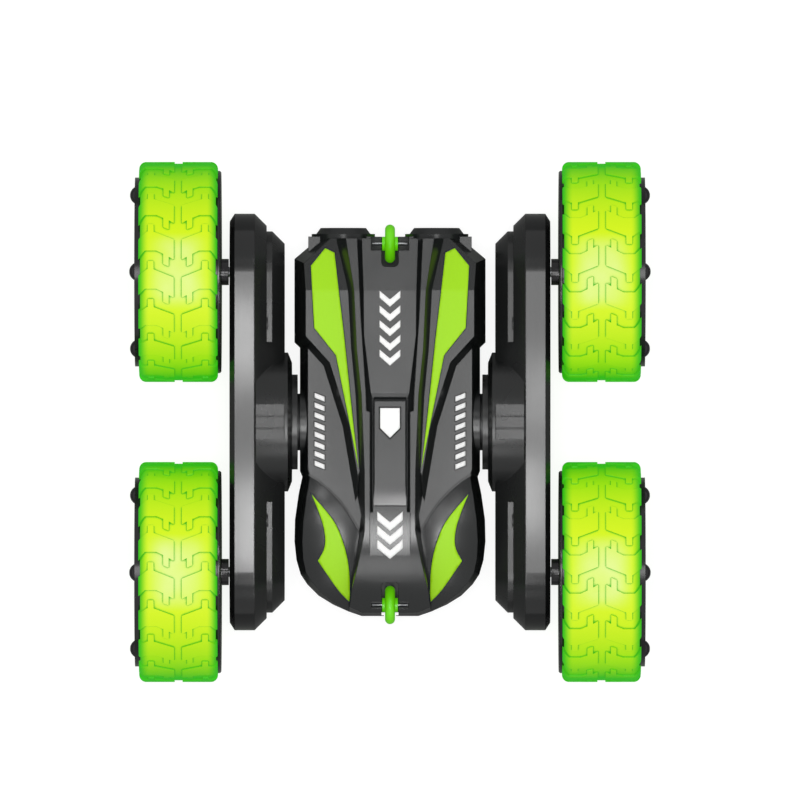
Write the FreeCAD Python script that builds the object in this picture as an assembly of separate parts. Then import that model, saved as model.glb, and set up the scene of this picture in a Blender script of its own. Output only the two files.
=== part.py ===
import FreeCAD, Part
import math
import os

# Stunt car with two swinging drive arms, four drum wheels and a closed body.
# Sizes are in millimetres, angles in degrees. X points to the car's right, Y to its tail
# and Z up. The origin is on the ground, under the line on which both arms pivot.
# Pieces are drawn about the pivot line, with Z measured from the axles, and then raised.
# Arms and wheels are drawn on the right side; the left ones are the same pieces turned
# half a turn about Z. Outlines are (X, Y) points unless they say otherwise.

# Fits
turning_gap = 0.08
end_gap = 0.3
sliding_gap = 0.2
pin_radius = 0.75
axle_radius = 1.5
axle_bevel = 0.3
axle_seat = 2.7
axle_cover = 0.6
shaft_radius = 1.0

# Wheels
tyre_radius = 33.0
tyre_width = 23.6
tyre_wall = 4.65
tyre_shoulder = 2.1
tread_depth = 0.5
tread_repeats = 18
tread_phase = 3.1
tread_channel = 1.2
wheelbase = 90.0
axle_height = tyre_radius
flange_radius = 30.35
flange_thickness = 1.0
flange_bevel = 0.4
disc_web = 0.6
disc_tube_wall = 1.0
disc_tube_length = 4.4
stub_radius = 3.95
stub_length = 2.54
rim_wall = 1.5
rim_seat = 3.5
rim_lip = 1.0
face_depth = 1.25
face_plate = 1.6
rivet_pitch_radius = 23.0
rivet_radius = 2.55
rivet_height = 1.55
rivet_flat = 0.4
rivet_count = 4
spoke_width = 6.0
spoke_recess = 0.25
cap_radius = 7.0
cap_bevel = 1.2
cap_rise = 0.15
face_step = 0.3
plate_recess = 0.2
hub_tube_radius = 4.0
light_board_radius = 15.0
light_board_thickness = 1.2
lamp_size = 2.2
lamp_count = 6

# Body across: everything on the arms is stacked outwards from the body's side
body_side = 27.0
body_bulge = 1.65
arm_gap = 0.7
collar_length = 1.7
collar_radius = 14.25
dish_length = 1.2
dish_radius = 17.8
ring_length = 1.0
hump_radius = 20.85
hump_flat = 20.1
hump_flat_width = 10.5
hump_groove = 0.45

# Arms
arm_radius = 17.5
arm_foot_radius = 8.5
arm_band = 6.0
arm_edge_length = 1.46
arm_edge_radius = 15.2
arm_wall = 1.5
ledge_radius = 12.2
ledge_start = 3.6
ledge_length = 1.8
ledge_from_pivot = 23.9
boss_wall = 1.45
screw_radius = 1.0
screw_head_radius = 2.0
screw_head_height = 1.2
arm_screw_along = 29.5
arm_screw_up = 10.6
screw_seat_depth = 0.1
screw_bite = 4.5
screw_hole_extra = 0.2
boss_foot = 0.5
pin_foot = 1.4
pin_bury = 2.0
pin_top = 0.5
cavity_roof = 0.1
cavity_foot_radius = 8.0
cavity_low_radius = 10.5
cavity_high_radius = 13.3
hump_step = 0.4
arm_panel_depth = 0.5
arm_panel_radius = 6.5
recess_arm = 0.25
recess_rim = 0.6
head_recess = 0.7

# Gears: the tooth numbers of the fine and coarse pairs, and where they lie
pressure_angle = math.radians(25)
addendum = 0.8
dedendum = 1.0
tooth_thinning = 0.08
fine_module = 0.5
coarse_module = 0.8
pinion_teeth = 10
large_teeth = 42
small_teeth = 10
idler_teeth = 20
wheel_teeth = 30
gear_width = 3.2
large_gear_width = 3.0
gear_layer_gap = 0.4

# Pivot sleeve and motors
sleeve_radius = 8.5
sleeve_groove_radius = 7.5
sleeve_bore = 6.0
sleeve_flange_radius = 10.2
sleeve_flange_thickness = 1.4
sleeve_foot = 1.3
motor_radius = 10.0
motor_flat = 7.5
motor_length = 22.0
motor_middle_gap = 2.0
motor_wall = 1.0
rotor_radius = 5.8
rotor_length = 13.0
rotor_shaft_end = 3.0
motor_nose_radius = 3.0
motor_nose_length = 1.0

# Body, seen from above
nose_tip = 58.5
tail_end = 56.4
body_wide = body_side + body_bulge
tail_edge = 55.0
body_outline = [(15.46, 60.0), (body_wide, 48.9), (body_wide, 23.85), (body_side, 22.3),
                (body_side, -14.7), (26.3, -16.4), (27.4, -21.6), (28.5, -29.3),
                (body_wide, -35.8), (28.05, -41.4), (26.8, -45.7), (24.8, -48.7),
                (21.4, -52.1), (17.1, -54.75), (12.3, -56.9), (8.5, -58.2)]
body_wall = 1.6
side_flat = 2.0
side_rise = 17.0
side_lean = 4.3
pivot_pad_radius = 10.5

# Body, seen from the side: heights above the axles
spine_top = 18.5
wing_top = 15.5
panel_top = 11.5
belly_depth = 15.5
slope_start = 39.5
spine_tail_drop = 3.0
wing_tail_drop = 4.7
nose_start = -25.0
nose_height = 5.0
nose_belly_start = -30.0
nose_belly_height = 5.0
tail_belly_start = 40.0
tail_belly_height = 9.5
barrel_radius = 9.5
barrel_start = 44.5
tail_bridge_height = 6.5
tail_bridge_half_width = 24.5
tail_bridge_end = 55.6
cavity_front = -41.0
cavity_rear = 44.5
roof_extra = 0.2
spine_room_half_width = 5.0
spine_room_gap = 2.0
flank_room = (15.0, 22.5, 26.5)
rib_places = [5.0, 18.0]
rib_thickness = 1.5
rib_half_length = 8.0
post_gap = 1.0
post_foot = 0.5

# Panels of the upper shell
spine_edge = [(11.7, 60.0), (9.9, 21.6), (8.5, 8.0), (7.6, -14.4), (7.5, -33.0), (11.4, -62.0)]
spine_foot = [(16.3, 60.0), (13.8, 21.6), (12.6, 8.0), (11.2, -14.4), (8.6, -28.0), (12.9, -62.0)]
wing_edge = [(34.0, 60.0), (34.0, 35.4), (18.06, 17.85), (12.2, -0.8), (9.6, -16.1), (8.8, -14.0),
             (8.8, 8.0), (10.6, 60.0)]
panel_edge = [(40.0, 26.0), (40.0, -14.6), (24.2, -15.6), (21.4, -17.3), (17.8, -20.3), (14.9, -23.4),
              (12.4, -26.8), (8.5, -33.2), (6.0, -33.2), (6.0, 26.0)]
fender_edge = [(40.0, -15.2), (24.3, -16.2), (21.6, -17.9), (18.2, -20.8), (15.3, -23.9),
               (12.8, -27.3), (8.5, -34.4), (6.0, -34.4), (6.0, -70.0), (40.0, -70.0)]
seam_depth = 1.5
fender_radius = 45.0
fender_top = (17.0, -28.0, 13.0)
wing_flare = 2.0
recess_edge = [(10.1, 60.0), (8.75, 31.0), (7.3, 9.0), (7.1, 3.4), (6.05, 3.0), (6.05, -40.0)]
recess_depth = 0.5
centre_panel_edge = [(8.6, 60.0), (7.9, 38.0), (7.8, 26.0), (5.8, 8.9)]
groove_depth = 1.2
groove_end = -27.0
groove_hinge = 3.0
groove_tilt = 25.0
nose_strip_half_width = 5.1
hatch_half_width = 5.0
hatch_rear = 6.6
hatch_front = -25.0
hatch_proud = 0.3
hatch_gap = 0.15
hatch_bevel = 0.4
hatch_bend = -17.0
hatch_bend_radius = 57.0
ramp_length = 2.2

# Guide wheels, nozzles and what the body holds
guide_radius = 5.75
guide_rim_width = 3.0
guide_hub_radius = 2.1
guide_hub_width = 4.7
guide_pin_radius = 0.5
guide_pin_length = 10.6
guide_web = 1.2
guide_slot_width = 5.1
guide_pocket_half_width = 5.7
nose_pocket_length = 2.0
tail_pocket_length = 4.2
slot_corner = 1.3
slot_lip_place = -58.0
nose_wheel_place = -54.9
tail_wheel_place = 53.5
nose_slot_end = -48.0
tail_slot_end = 46.5
nozzle_place = 14.0
nozzle_radius = 8.15
nozzle_lip_radius = 6.8
nozzle_bore = 5.6
nozzle_seat = 6.4
nozzle_proud = 1.8
nozzle_depth = 4.5
nozzle_taper = 1.4
battery_length = 19.0
battery_half_width = 13.0
battery_height = 9.0
battery_corner = 1.5
battery_front = 13.0
door_half_width = 16.0
door_front = 8.0
door_rear = 38.5
door_thickness = 1.6
door_lip = 1.0
door_screw_inset = 3.0
door_screw_hole = 8.0
door_screw_seat = 0.9
door_screw_reach = 4.0
door_tab_half_width = 3.5
door_tab_height = 4.0
door_grip_half_width = 9.0
door_grip_inset = 6.0
door_grip_pitch = 3.0
door_grip_width = 1.0
door_grip_depth = 0.4
door_grip_count = 5
board_half_width = 16.0
board_front = -40.0
board_rear = -13.0
board_height = -8.0
board_thickness = 1.4
board_nose_gap = 7.0
board_post_size = 3.0
board_post_across = [-13.0, 13.0]
board_post_along = [-31.0, -15.5]
switch_place = (-12.0, -20.0)
switch_slot_width = 2.6
switch_travel = 3.0
switch_knob_length = 3.0
switch_knob_half_width = 1.0
switch_knob_recess = 0.4
switch_grip = (0.6, 1.2, 0.3)
switch_body = (2.5, 6.0, 3.0)
switch_height = 2.0
switch_roof = 0.5
board_parts = [((-5.0, 3.0), (-27.0, -19.0), 1.6), ((6.0, 14.0), (-20.0, -16.0), 4.0),
               ((6.0, 9.5), (-29.0, -24.0), 3.0)]
body_screw_places = [(21.0, 36.0), (-21.0, 36.0), (19.0, -33.0), (-19.0, -33.0)]
body_screw_reach = 5.0
wire_radius = 0.6
wire_rise = 4.0
motor_lead_place = 4.5
motor_lead_inset = 4.0
motor_lead_climb = 0.4
battery_lead_place = 11.0
battery_lead_inset = 3.0
battery_lead_end = -6.0

# The stack from the body's side out to the tyres, worked out from the sizes above
collar_start = body_side + arm_gap
dish_start = collar_start + collar_length
ring_start = dish_start + dish_length
arm_foot = ring_start + ring_length
arm_split = arm_foot + arm_radius - arm_foot_radius
arm_band_end = arm_split + arm_band
arm_face = arm_band_end + arm_edge_length
flange_start = arm_face + stub_length
tyre_start = flange_start + flange_thickness
tyre_end = tyre_start + tyre_width
face_end = tyre_end + face_depth
tyre_bore = tyre_radius - tyre_wall
wheel_place = wheelbase / 2
hub_tube_start = tyre_start + disc_tube_length
axle_start = arm_foot + axle_seat
floor_level = arm_foot + arm_wall
gear_start = arm_split - pin_bury
gear_end = gear_start + gear_width
large_start = gear_end + gear_layer_gap
large_end = large_start + large_gear_width
cavity_end = arm_band_end - cavity_roof
ledge_outer = arm_split - ledge_start
sleeve_end = floor_level + end_gap + sleeve_flange_thickness
compound_place = fine_module * (pinion_teeth + large_teeth) / 2
idler_place = compound_place + coarse_module * (small_teeth + idler_teeth) / 2
gear_pin_start = floor_level + pin_foot
gear_pin_end = cavity_end + pin_top


def vector(x, y, z):
    return FreeCAD.Vector(x, y, z)


def face_of(points):
    """Flat face inside a closed outline of vectors."""
    return Part.Face(Part.makePolygon(points + [points[0]]))


def prism(outline, low, high):
    """Upright solid with an (X, Y) outline between two heights."""
    face = face_of([vector(x, y, low) for x, y in outline])
    return face.extrude(vector(0, 0, high - low))


def turned(profile):
    """Solid turned about the X axis from (X, radius) points."""
    face = face_of([vector(x, 0, radius) for x, radius in profile])
    return face.revolve(vector(0, 0, 0), vector(1, 0, 0), 360)


def disc(start, end, radius, y=0.0, z=0.0):
    """Cylinder along X between two places."""
    return Part.makeCylinder(radius, end - start, vector(start, y, z), vector(1, 0, 0))


def block(x_range, y_range, z_range):
    """Box between two corners, given as three pairs."""
    size = [high - low for low, high in (x_range, y_range, z_range)]
    return Part.makeBox(size[0], size[1], size[2], vector(x_range[0], y_range[0], z_range[0]))


def mirrored(outline):
    """Whole (X, Y) outline from its right half, which runs from tail to nose."""
    return outline + [(-x, y) for x, y in reversed(outline)]


def joined(shapes):
    """One solid from several that touch."""
    return shapes[0].multiFuse(shapes[1:]).removeSplitter()


def inset(outline, distance):
    """Clockwise outline with every edge moved inwards; a negative distance moves it out."""
    count = len(outline)
    edges = []
    for index in range(count):
        x0, y0 = outline[index]
        x1, y1 = outline[(index + 1) % count]
        length = math.hypot(x1 - x0, y1 - y0)
        inward = ((y1 - y0) / length, -(x1 - x0) / length)
        edges.append(((x0 + inward[0] * distance, y0 + inward[1] * distance), (x1 - x0, y1 - y0)))
    points = []
    for index in range(count):
        (px, py), (dx, dy) = edges[index - 1]
        (qx, qy), (ex, ey) = edges[index]
        share = ((qx - px) * ey - (qy - py) * ex) / (dx * ey - dy * ex)
        points.append((px + dx * share, py + dy * share))
    return points


def tapered(low_outline, low, high_outline, high):
    """Solid whose flat sides run from one outline to another of as many points."""
    wires = []
    for outline, height in ((low_outline, low), (high_outline, high)):
        points = [vector(x, y, height) for x, y in outline]
        wires.append(Part.makePolygon(points + [points[0]]))
    return Part.makeLoft(wires, True, True)


def side_prism(profile, half_width):
    """Solid with a (Y, Z) profile, as wide as the car."""
    face = face_of([vector(-half_width, y, z) for y, z in profile])
    return face.extrude(vector(2 * half_width, 0, 0))


def stadium(profile, half_length):
    """Long round solid from (X, radius) points: its section is two half circles and a straight run."""
    wires = []
    for x, radius in profile:
        top = vector(x, -half_length, radius), vector(x, half_length, radius)
        low = vector(x, half_length, -radius), vector(x, -half_length, -radius)
        rear = Part.Arc(top[1], vector(x, half_length + radius, 0), low[0])
        front = Part.Arc(low[1], vector(x, -half_length - radius, 0), top[0])
        edges = [Part.LineSegment(*top).toShape(), rear.toShape()]
        edges += [Part.LineSegment(*low).toShape(), front.toShape()]
        wires.append(Part.Wire(edges))
    return Part.makeLoft(wires, True, True)


def placed(shape, side, y=0.0):
    """A copy at the axles' height, on the right or turned round to the left."""
    copy = shape.copy()
    if side == "left":
        copy.rotate(vector(0, 0, 0), vector(0, 0, 1), 180)
    copy.translate(vector(0, y, axle_height))
    return copy


def keep(name, shape):
    """Write one node."""
    shape.exportStep("parts/" + name + ".step")


# Wheels

def tyre_profile(radius, half_width, middle):
    """Section of the tyre as a face: straight sides, round shoulders and a flat tread."""
    flat = half_width - tyre_shoulder
    side = radius - tyre_shoulder
    bend = tyre_shoulder * math.sqrt(0.5)
    corners = [vector(middle - half_width, 0, tyre_bore), vector(middle - half_width, 0, side),
               vector(middle - flat, 0, radius), vector(middle + flat, 0, radius),
               vector(middle + half_width, 0, side), vector(middle + half_width, 0, tyre_bore)]
    near = vector(middle - flat - bend, 0, side + bend)
    far = vector(middle + flat + bend, 0, side + bend)
    edges = [Part.LineSegment(corners[0], corners[1]).toShape(),
             Part.Arc(corners[1], near, corners[2]).toShape(),
             Part.LineSegment(corners[2], corners[3]).toShape(),
             Part.Arc(corners[3], far, corners[4]).toShape(),
             Part.LineSegment(corners[4], corners[5]).toShape(),
             Part.LineSegment(corners[5], corners[0]).toShape()]
    return Part.Face(Part.Wire(edges))


def tread_outline():
    """One tread block: distance from the tyre's middle, and distance along the tread."""
    edge = tyre_width / 2 + 1.0
    return [(tread_channel, 0.0), (7.2, -2.4), (7.25, -4.9), (9.0, -4.9), (9.0, -2.5), (9.3, -2.4),
            (11.8, -0.4), (edge, 0.4), (edge, 5.4), (11.8, 5.4), (9.8, 3.4), (6.4, 3.4),
            (4.35, 4.4), (4.35, 7.4), (2.7, 8.1), (2.7, 5.3), (tread_channel, 6.1)]


def tyre():
    """Tyre ring with its chevron tread blocks."""
    middle = tyre_start + tyre_width / 2
    axis = vector(1, 0, 0)
    centre = vector(0, 0, 0)
    ring = tyre_profile(tyre_radius, tyre_width / 2, middle).revolve(centre, axis, 360)
    core = tyre_profile(tyre_radius - tread_depth, tyre_width / 2 - tread_depth, middle)
    foot = tyre_radius - tyre_shoulder - 1.0
    blocks = []
    for direction in (1, -1):
        points = [vector(middle + direction * a, s, foot) for a, s in tread_outline()]
        lug = face_of(points).extrude(vector(0, 0, tyre_radius + 1.0 - foot)).common(ring)
        for repeat in range(tread_repeats):
            copy = lug.copy()
            copy.rotate(centre, axis, -tread_phase - 360.0 * repeat / tread_repeats)
            blocks.append(copy)
    return core.revolve(centre, axis, 360).multiFuse(blocks)


def rivet(start):
    """Round-headed rivet along X with a small flat on its crown, standing on the wheel's face."""
    ball_radius = (rivet_radius ** 2 + rivet_height ** 2) / (2 * rivet_height)
    ball_centre = face_end + rivet_height - ball_radius

    def on_ball(radius):
        height = math.sqrt(ball_radius ** 2 - radius ** 2)
        return vector(ball_centre + height, 0, rivet_pitch_radius + radius)

    shoulder, middle, crown = [on_ball(radius) for radius in
                               (rivet_radius, (rivet_radius + rivet_flat) / 2, rivet_flat)]
    foot, top = [vector(x, 0, rivet_pitch_radius) for x in (start, crown.x)]
    rim = vector(start, 0, rivet_pitch_radius + rivet_radius)
    edges = [Part.LineSegment(foot, rim).toShape(), Part.LineSegment(rim, shoulder).toShape(),
             Part.Arc(shoulder, middle, crown).toShape(), Part.LineSegment(crown, top).toShape(),
             Part.LineSegment(top, foot).toShape()]
    return Part.Face(Part.Wire(edges)).revolve(foot, vector(1, 0, 0), 360)


def hub():
    """Outer half of the drum: rim, face plate with spokes and rivets, and the tube on the axle."""
    plate_end = tyre_end - plate_recess
    plate_start = plate_end - face_plate
    rim_inner = tyre_bore - rim_wall
    shell = turned([(tyre_end - rim_seat, rim_inner), (tyre_end - rim_seat, tyre_bore),
                    (face_end, tyre_bore), (face_end, rim_inner - rim_lip), (plate_end, rim_inner - rim_lip),
                    (plate_end, axle_radius), (hub_tube_start, axle_radius),
                    (hub_tube_start, hub_tube_radius), (plate_start, hub_tube_radius),
                    (plate_start, rim_inner)])
    cap = turned([(plate_end, 0), (plate_end, cap_radius), (face_end - face_step, cap_radius),
                  (face_end + cap_rise, cap_radius - cap_bevel), (face_end + cap_rise, 0)])
    shapes = [shell, cap]
    for index in range(rivet_count):
        turn = 360.0 * index / rivet_count
        spoke = block((plate_end, face_end - spoke_recess), (-spoke_width / 2, spoke_width / 2),
                      (axle_radius, rim_inner))
        for shape in (spoke, rivet(plate_end)):
            shape.rotate(vector(0, 0, 0), vector(1, 0, 0), turn)
            shapes.append(shape)
    return joined(shapes)


def inner_disc():
    """Inner half of the drum: flange, rim seat and the stub towards the arm."""
    rim_inner = tyre_bore - rim_wall
    return turned([(arm_face + end_gap, axle_radius), (arm_face + end_gap, stub_radius),
                   (flange_start, stub_radius), (flange_start, flange_radius - flange_bevel),
                   (flange_start + flange_bevel, flange_radius), (tyre_start, flange_radius),
                   (tyre_start, tyre_bore), (tyre_start + rim_seat, tyre_bore),
                   (tyre_start + rim_seat, rim_inner), (tyre_start + disc_web, rim_inner),
                   (tyre_start + disc_web, hub_tube_radius + disc_tube_wall),
                   (hub_tube_start, hub_tube_radius + disc_tube_wall),
                   (hub_tube_start, axle_radius)])


def light_board():
    """Round board on the hub tube with side-facing lamps around its edge."""
    start = tyre_start + tyre_width / 2
    end = start + light_board_thickness
    board = turned([(start, hub_tube_radius), (start, light_board_radius),
                    (end, light_board_radius), (end, hub_tube_radius)])
    lamps = []
    for index in range(lamp_count):
        lamp = block((end, end + lamp_size), (-lamp_size / 2, lamp_size / 2),
                     (light_board_radius - lamp_size, light_board_radius))
        lamp.rotate(vector(0, 0, 0), vector(1, 0, 0), 360.0 * index / lamp_count)
        lamps.append(lamp)
    return joined([board] + lamps)


# Gears

def gear_outline(teeth, module, gap_first):
    """Points of an involute gear in the YZ plane, with a tooth or a gap towards +Y."""
    pitch_radius = module * teeth / 2
    base_radius = pitch_radius * math.cos(pressure_angle)
    tip_radius = pitch_radius + addendum * module
    root_radius = pitch_radius - dedendum * module
    start_radius = max(base_radius, root_radius)
    half_tooth = (math.pi * module / 2 - tooth_thinning) / (2 * pitch_radius)

    def half_angle(radius):
        local = math.acos(min(1.0, base_radius / radius))
        involute = math.tan(local) - local
        return half_tooth + math.tan(pressure_angle) - pressure_angle - involute

    flank = [(radius, half_angle(radius)) for radius in
             (start_radius, (start_radius + tip_radius) / 2, tip_radius)]
    if root_radius < start_radius:
        flank.insert(0, (root_radius, flank[0][1]))
    points = []
    for tooth in range(teeth):
        middle = 2 * math.pi * (tooth + (0.5 if gap_first else 0.0)) / teeth
        rising = [(radius, middle - angle) for radius, angle in flank]
        falling = [(radius, middle + angle) for radius, angle in reversed(flank)]
        points += rising + falling
    return [(radius * math.cos(angle), radius * math.sin(angle)) for radius, angle in points]


def gear(teeth, module, start, end, bore, gap_first=False):
    """Spur gear along X with a round bore."""
    face = face_of([vector(start, y, z) for y, z in gear_outline(teeth, module, gap_first)])
    return face.extrude(vector(end - start, 0, 0)).cut(disc(start, end, bore))


def compound_gear():
    """Large fine gear and small coarse gear in one piece."""
    bore = pin_radius + turning_gap
    large = gear(large_teeth, fine_module, large_start, large_end, bore, True)
    small = gear(small_teeth, coarse_module, gear_start, large_start, bore)
    return large.fuse(small)


def idler_gear():
    return gear(idler_teeth, coarse_module, gear_start, gear_end, pin_radius + turning_gap, True)


def wheel_gear():
    return gear(wheel_teeth, coarse_module, gear_start, gear_end, axle_radius)


def pinion():
    return gear(pinion_teeth, fine_module, large_start - gear_layer_gap, large_end + end_gap, shaft_radius)


# Arms

def pin_places():
    """Where the gear pins stand along the arm."""
    return [-idler_place, -compound_place, compound_place, idler_place]


def arm_screw_places():
    return [(y, z) for y in (-arm_screw_along, arm_screw_along) for z in (-arm_screw_up, arm_screw_up)]


def ledge():
    """Material missing from both ends of the arm's inner slope, which leaves a flat ledge."""
    start = ledge_outer - ledge_length
    ring = block((start, ledge_outer), (-80, 80), (-30, 30))
    ring = ring.cut(stadium([(start, ledge_radius), (ledge_outer, ledge_radius)], wheel_place))
    return ring.cut(block((start, ledge_outer), (-ledge_from_pivot, ledge_from_pivot), (-30, 30)))


def hump():
    """Round swelling at the pivot, with its ring, dish and collar and three flats above and below."""
    hump_end = arm_split - hump_step
    shape = turned([(collar_start, 0), (collar_start, collar_radius), (dish_start, collar_radius),
                    (dish_start, dish_radius), (ring_start, hump_radius), (hump_end, hump_radius),
                    (hump_end, 0)])
    half = hump_flat_width / 2
    strip = (hump_flat_width - 2 * hump_groove) / 3
    for sign in (1, -1):
        depths = sorted((sign * hump_flat, sign * (hump_radius + 1)))
        shape = shape.cut(block((arm_foot, hump_end), (-half, half), depths))
        for groove in (-half + strip, half - strip - hump_groove):
            depths = sorted((sign * (hump_flat - hump_groove), sign * (hump_radius + 1)))
            shape = shape.cut(block((arm_foot, hump_end), (groove, groove + hump_groove), depths))
    return shape


def inner_cavity():
    """Space inside the inner case: gears along the arm and a round room at the pivot."""
    step = gear_start - gear_layer_gap
    low = stadium([(floor_level + end_gap, cavity_foot_radius), (step, cavity_low_radius)], wheel_place)
    high = stadium([(step, cavity_high_radius), (arm_split, arm_radius - arm_wall - end_gap)], wheel_place)
    room_radius = hump_flat - arm_wall
    room = disc(floor_level, step, room_radius)
    throat = disc(floor_level, arm_split, arm_radius - arm_wall)
    return joined([low, high, room, throat])


def inner_case():
    """Half case towards the body, with seats for the pins, the axles and the pivot sleeve."""
    shape = stadium([(arm_foot, arm_foot_radius), (arm_split, arm_radius)], wheel_place).cut(ledge())
    shape = shape.fuse(hump()).cut(inner_cavity())
    boss_end = gear_start - end_gap
    bosses = [disc(arm_foot + boss_foot, boss_end, pin_radius + boss_wall, y) for y in pin_places()]
    bosses += [disc(arm_foot + boss_foot, boss_end, axle_radius + boss_wall, y)
               for y in (-wheel_place, wheel_place)]
    bosses += [disc(gear_start - pin_bury, arm_split, screw_radius + boss_wall, y, z)
               for y, z in arm_screw_places()]
    shape = shape.multiFuse(bosses)
    holes = [disc(gear_pin_start, boss_end, pin_radius, y) for y in pin_places()]
    holes += [disc(axle_start - end_gap, boss_end, axle_radius + turning_gap, y)
              for y in (-wheel_place, wheel_place)]
    pilot = arm_split - screw_bite - screw_hole_extra
    holes += [disc(pilot, arm_split, screw_radius, y, z) for y, z in arm_screw_places()]
    holes.append(disc(collar_start, floor_level, sleeve_radius + turning_gap))
    for hole in holes:
        shape = shape.cut(hole)
    return shape.removeSplitter()


def outer_case():
    """Half case towards the wheels, with the other seats and the screw heads' recesses."""
    shape = stadium([(arm_split, arm_radius), (arm_band_end, arm_radius), (arm_face, arm_edge_radius)],
                    wheel_place)
    shape = shape.cut(stadium([(arm_split, arm_radius - arm_wall), (cavity_end, arm_radius - arm_wall)],
                              wheel_place))
    bosses = [disc(large_end + end_gap, cavity_end, pin_radius + boss_wall, y) for y in pin_places()]
    bosses += [disc(gear_end + end_gap, cavity_end, axle_radius + boss_wall, y)
               for y in (-wheel_place, wheel_place)]
    bosses += [disc(arm_split, cavity_end, screw_radius + boss_wall, y, z) for y, z in arm_screw_places()]
    shape = shape.multiFuse(bosses)
    head_seat = arm_face - screw_head_height - screw_seat_depth
    holes = [disc(large_end + end_gap, gear_pin_end, pin_radius, y) for y in pin_places()]
    holes += [disc(gear_end + end_gap, arm_face, axle_radius + turning_gap, y)
              for y in (-wheel_place, wheel_place)]
    holes += [disc(arm_split, arm_face, screw_radius, y, z) for y, z in arm_screw_places()]
    holes += [disc(head_seat, arm_face, screw_head_radius + sliding_gap, y, z)
              for y, z in arm_screw_places()]
    panel = [(arm_face - arm_panel_depth, arm_panel_radius), (arm_face, arm_panel_radius + arm_panel_depth)]
    holes.append(stadium(panel, idler_place))
    for hole in holes:
        shape = shape.cut(hole)
    return shape.removeSplitter()


def screw(head_seat, tip, y, z):
    """Round-headed case screw along X with a cross recess."""
    head_end = head_seat + screw_head_height
    shape = disc(tip, head_seat, screw_radius, y, z).fuse(disc(head_seat, head_end, screw_head_radius, y, z))
    reach = screw_head_radius - recess_rim
    slot = (head_end - head_recess, head_end)
    shape = shape.cut(block(slot, (y - recess_arm, y + recess_arm), (z - reach, z + reach)))
    return shape.cut(block(slot, (y - reach, y + reach), (z - recess_arm, z + recess_arm)))


def case_screws():
    head_seat = arm_face - screw_head_height - screw_seat_depth
    return Part.makeCompound([screw(head_seat, arm_split - screw_bite, y, z) for y, z in arm_screw_places()])


def gear_pins():
    return Part.makeCompound([disc(gear_pin_start, gear_pin_end, pin_radius, y) for y in pin_places()])


def axle():
    """Steel axle with rounded tips."""
    end = tyre_end - axle_cover
    near, far = axle_start + axle_bevel, end - axle_bevel
    return turned([(axle_start, 0), (axle_start, axle_radius - axle_bevel), (near, axle_radius),
                   (far, axle_radius), (end, axle_radius - axle_bevel), (end, 0)])


# Pivot sleeves and motors

def sleeve():
    """Hollow pivot held in a groove by both body shells; its flange keeps the arm on."""
    inside = body_side - body_wall
    flange = floor_level + end_gap
    foot = inside - sleeve_foot
    return turned([(foot, sleeve_bore), (foot, sleeve_radius), (inside, sleeve_radius),
                   (inside, sleeve_groove_radius), (body_side, sleeve_groove_radius),
                   (body_side, sleeve_radius), (flange, sleeve_radius), (flange, sleeve_flange_radius),
                   (sleeve_end, sleeve_flange_radius), (sleeve_end, sleeve_bore)])


def motor_section(start, end, radius, flat):
    """Round bar along X with two flats, as a small motor has."""
    return disc(start, end, radius).common(block((start, end), (-radius, radius), (-flat, flat)))


def motor_can():
    """Steel can with a nose at the shaft end, hollow round its rotor."""
    start = motor_middle_gap / 2
    end = start + motor_length
    can = motor_section(start, end, motor_radius, motor_flat)
    can = can.cut(motor_section(start + motor_wall, end - motor_wall,
                                motor_radius - motor_wall, motor_flat - motor_wall))
    nose_end = end + motor_nose_length
    can = can.fuse(disc(end, nose_end, motor_nose_radius))
    return can.cut(disc(end - motor_wall, nose_end, shaft_radius + turning_gap))


def rotor():
    """Motor shaft that reaches into the arm, with the armature inside the can."""
    start = motor_middle_gap / 2 + motor_wall + end_gap
    armature = start + rotor_shaft_end
    return turned([(start, 0), (start, shaft_radius), (armature, shaft_radius), (armature, rotor_radius),
                   (armature + rotor_length, rotor_radius), (armature + rotor_length, shaft_radius),
                   (large_end + end_gap, shaft_radius), (large_end + end_gap, 0)])


# Body shells

def hull(outline, sign):
    """Leaning sides of one shell: upright near the parting line, then sloping in, with an upright tail."""
    flat = sign * side_flat
    top = sign * (side_flat + side_rise)
    base = prism(outline, 0, flat)
    form = base.fuse(tapered(outline, flat, inset(outline, side_lean), top))
    return form.common(block((-2 * body_wide, 2 * body_wide), (-nose_tip - 1, tail_edge), sorted((0, top))))


def tail_barrels(sign):
    """One shell's half of the round housings of the nozzles, and the bridge between them."""
    half = block((-body_wide, body_wide), (barrel_start, tail_end), sorted((0, sign * barrel_radius)))
    barrels = [Part.makeCylinder(barrel_radius, tail_end - barrel_start, vector(x, barrel_start, 0),
                                 vector(0, 1, 0)).common(half) for x in (-nozzle_place, nozzle_place)]
    bridge = block((-tail_bridge_half_width, tail_bridge_half_width), (barrel_start, tail_bridge_end),
                   sorted((0, sign * tail_bridge_height)))
    return barrels + [bridge]


def nose_curve_radius(start_height):
    """Radius of the arc that falls from level at nose_start to the nose tip's height."""
    run = nose_tip + nose_start
    drop = start_height - nose_height
    return (run ** 2 + drop ** 2) / (2 * drop)


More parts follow.
